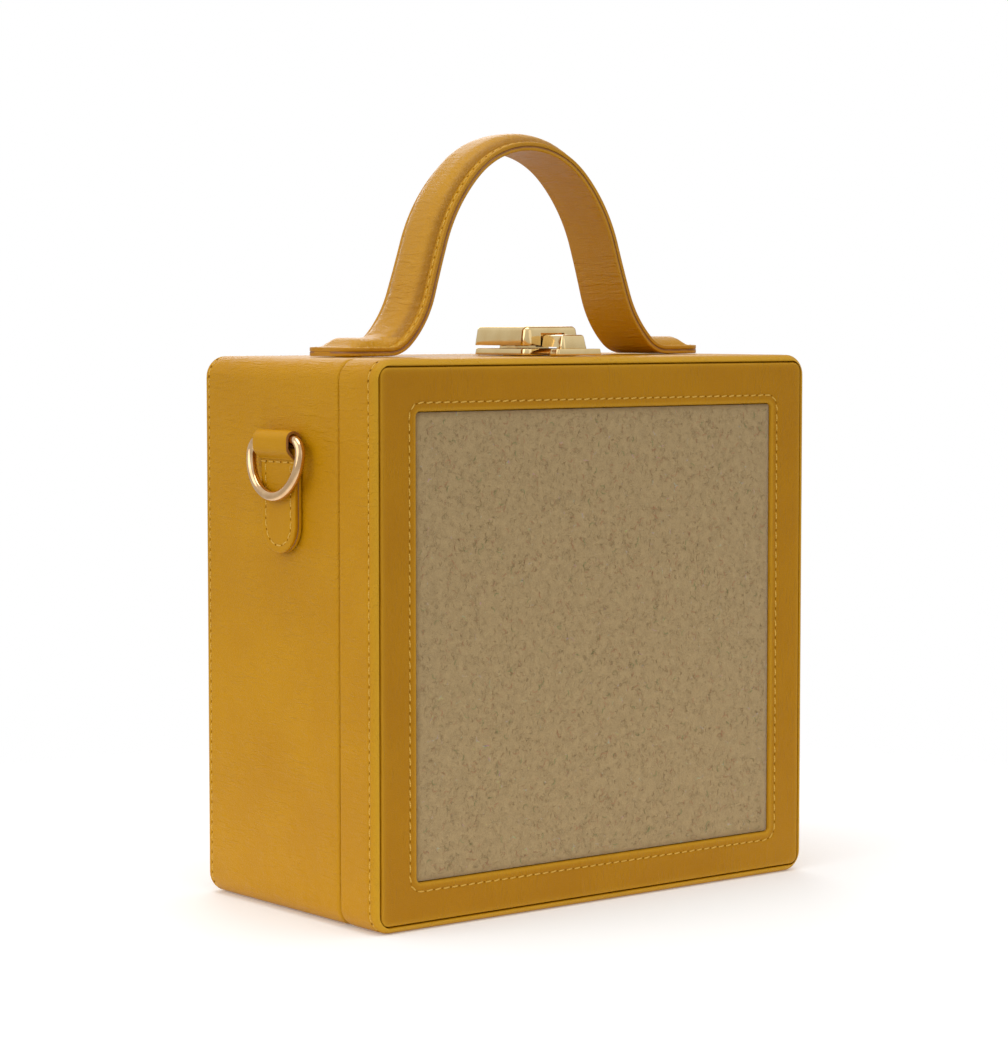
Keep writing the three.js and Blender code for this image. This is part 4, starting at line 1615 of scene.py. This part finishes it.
def stitchTree():
    tree = bpy.data.node_groups.new("stitchRow", "GeometryNodeTree")
    sockets = [("Geometry", "Geometry"), ("Thread", "Material"), ("Hole", "Material")]
    sockets += [(title, "Float") for title in ("Pitch", "Length", "Radius", "Hole Radius", "Slant")]
    for title, kind in sockets:
        tree.interface.new_socket(title, in_out="INPUT", socket_type="NodeSocket" + kind)
    tree.interface.new_socket("Geometry", in_out="OUTPUT", socket_type="NodeSocketGeometry")
    given = tree.nodes.new("NodeGroupInput").outputs
    result = tree.nodes.new("NodeGroupOutput").inputs
    line = addNode(tree, "GeometryNodeMeshToCurve", {"Mesh": given["Geometry"]})
    even = addNode(
        tree, "GeometryNodeResampleCurve", {"Curve": line.outputs[0], "Length": given["Pitch"]}, mode="LENGTH"
    )
    tangent = tree.nodes.new("GeometryNodeInputTangent")
    up = addNode(tree, "GeometryNodeInputNamedAttribute", {"Name": "up"}, data_type="FLOAT_VECTOR")
    facing = addNode(
        tree,
        "FunctionNodeAxesToRotation",
        {0: up.outputs[0], 1: tangent.outputs[0]},
        primary_axis="Z",
        secondary_axis="X",
    )
    half = maths(tree, "MULTIPLY", given["Length"], 0.5)
    dip = maths(tree, "MULTIPLY", given["Radius"], -1.0)
    left = addNode(tree, "ShaderNodeCombineXYZ", {"X": maths(tree, "MULTIPLY", half, -1.0), "Z": dip})
    top = addNode(tree, "ShaderNodeCombineXYZ", {"Z": maths(tree, "MULTIPLY", given["Radius"], 1.7)})
    right = addNode(tree, "ShaderNodeCombineXYZ", {"X": half, "Z": dip})
    arch = addNode(
        tree,
        "GeometryNodeCurveQuadraticBezier",
        {"Resolution": 7, "Start": left.outputs[0], "Middle": top.outputs[0], "End": right.outputs[0]},
    )
    profile = addNode(tree, "GeometryNodeCurvePrimitiveCircle", {"Resolution": 7, "Radius": given["Radius"]})
    strand = addNode(
        tree,
        "GeometryNodeCurveToMesh",
        {"Curve": arch.outputs[0], "Profile Curve": profile.outputs[0], "Fill Caps": True},
    )
    threads = addNode(
        tree,
        "GeometryNodeInstanceOnPoints",
        {"Points": even.outputs[0], "Instance": strand.outputs[0], "Rotation": facing.outputs[0]},
    )
    lean = addNode(tree, "FunctionNodeRandomValue", {2: -0.06, 3: 0.06, "Seed": 3}, data_type="FLOAT")
    angle = addNode(
        tree, "ShaderNodeCombineXYZ", {"Z": maths(tree, "ADD", given["Slant"], lean.outputs[1])}
    )
    slanted = addNode(
        tree,
        "GeometryNodeRotateInstances",
        {"Instances": threads.outputs[0], "Rotation": angle.outputs[0], "Local Space": True},
    )
    realThread = addNode(tree, "GeometryNodeRealizeInstances", {"Geometry": slanted.outputs[0]})
    threadDone = addNode(
        tree, "GeometryNodeSetMaterial", {"Geometry": realThread.outputs[0], "Material": given["Thread"]}
    )
    # a dark bead beside each stitch, flattened and sunk into the leather: painted shade for its needle hole
    beadSizes = {"Segments": 8, "Rings": 4, "Radius": given["Hole Radius"]}
    bead = addNode(tree, "GeometryNodeMeshUVSphere", beadSizes)
    aside = addNode(tree, "ShaderNodeCombineXYZ", {"X": maths(tree, "MULTIPLY", given["Pitch"], 0.5)})
    flat = addNode(
        tree,
        "GeometryNodeTransform",
        {"Geometry": bead.outputs[0], "Translation": aside.outputs[0], "Scale": (1.15, 0.95, 0.3)},
    )
    holes = addNode(
        tree,
        "GeometryNodeInstanceOnPoints",
        {"Points": even.outputs[0], "Instance": flat.outputs[0], "Rotation": facing.outputs[0]},
    )
    realHole = addNode(tree, "GeometryNodeRealizeInstances", {"Geometry": holes.outputs[0]})
    holeDone = addNode(
        tree, "GeometryNodeSetMaterial", {"Geometry": realHole.outputs[0], "Material": given["Hole"]}
    )
    both = tree.nodes.new("GeometryNodeJoinGeometry")
    tree.links.new(holeDone.outputs[0], both.inputs[0])
    tree.links.new(threadDone.outputs[0], both.inputs[0])
    tree.links.new(both.outputs[0], result["Geometry"])
    return tree


stitchRow = stitchTree()


def sew(name, lines, body, slant=0.0):
    # lines: a list of (points with their outward direction, whether the line closes)
    vertices, edges, ups = [], [], []
    for points, closed in lines:
        first = len(vertices)
        for place, out in points:
            vertices.append(Vector(place) * mm)
            ups.append(Vector(out).normalized())
        count = len(points)
        edges += [(first + i, first + i + 1) for i in range(count - 1)]
        if closed:
            edges.append((first + count - 1, first))
    mesh = bpy.data.meshes.new(name)
    mesh.from_pydata(vertices, edges, [])
    attribute = mesh.attributes.new("up", "FLOAT_VECTOR", "POINT")
    attribute.data.foreach_set("vector", [c for up in ups for c in up])
    made = growFrom(
        name,
        mesh,
        stitchRow,
        {
            "Pitch": stitch["pitch"] * mm,
            "Length": stitch["length"] * mm,
            "Radius": stitch["radius"] * mm,
            "Hole Radius": stitch["holeRadius"] * mm,
            "Slant": slant,
            "Thread": thread,
            "Hole": needleHoleShade,
        },
    )
    made.data.shade_smooth()
    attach(made, body)
    return made


def shellLine(y):
    inset = shell["stitchSink"]
    half = bag["height"] / 2
    outline = roundedRing(bag["halfX"] - inset, half - inset, shell["corner"] - inset, 0, half)
    points = []
    for x, z in outline:
        coreX = max(-bag["halfX"] + shell["corner"], min(bag["halfX"] - shell["corner"], x))
        coreZ = max(shell["corner"], min(bag["height"] - shell["corner"], z))
        points.append(((x, y, z), (x - coreX, 0, z - coreZ)))
    return points


def windowLine():
    out = face["stitchOut"]
    y = frameLow.y + face["stitchSink"]
    return [((x, y, z), (0, -1, 0)) for x, z in windowOutline(out)]


def handleLines():
    inset = handle["stitchIn"]
    height = handle["strap"] + handle["gap"] + handle["leather"] - 0.2
    frontRow, backRow = [], []
    for station in stations:
        if station["toEnd"] < inset:
            continue
        y = halfWidth(station, inset)
        if station["toEnd"] >= handle["footCorner"]:
            y = halfWidth(station) - inset
        out = (station["outX"], 0, station["outZ"])
        frontRow.append((placeOn(station, -y, height), out))
        backRow.append((placeOn(station, y, height), out))
    return frontRow + backRow[::-1]


def tabLines():
    seamX = tabFace - tabs["seamSink"]
    inset = tabs["stitchIn"]
    outline = [(y, z) for y, z in tabOutline(inset)[: 16 + 33 + 16] if z < tabs["loopFoot"] - inset]
    line = [((seamX, y, z), (1, 0, 0)) for y, z in outline]
    rowZ = tabs["loopFoot"] - 1.7
    row = [((tabFace, y, rowZ), (1, 0, 0)) for y in (-8.2, -4.1, 0, 4.1, 8.2)]
    turned = [[((-x, -y, z), (-1, 0, 0)) for (x, y, z), out in points] for points in (line, row)]
    return [(line, False), (row, False), (turned[0], False), (turned[1], False)]


sew("lid_side_stitches", [(shellLine(bag["front"] + shell["stitchIn"]), True)], "lid")
sew("window_stitches", [(windowLine(), True)], "lid", stitch["slant"])
sew("case_side_stitches", [(shellLine(bag["back"] - shell["stitchIn"]), True)], "case")
sew("handle_stitches", [(handleLines(), True)], "case")
sew("tab_stitches", tabLines(), "case")
print("stitches made")


# Floor

def floorPiece():
    sides = 96
    radius = studio["floorRadius"] / mm
    low = -0.02  # just under the bag, so that the two don't share a face
    turns = [2 * pi * i / sides for i in range(sides)]
    vertices = [(radius * cos(turn), radius * sin(turn), low) for turn in turns]
    made = newPiece("floor", vertices, [tuple(range(sides))], [floorMaterial()])
    if made.data.polygons[0].normal.z < 0:
        made.data.flip_normals()
    return made


floorPiece()
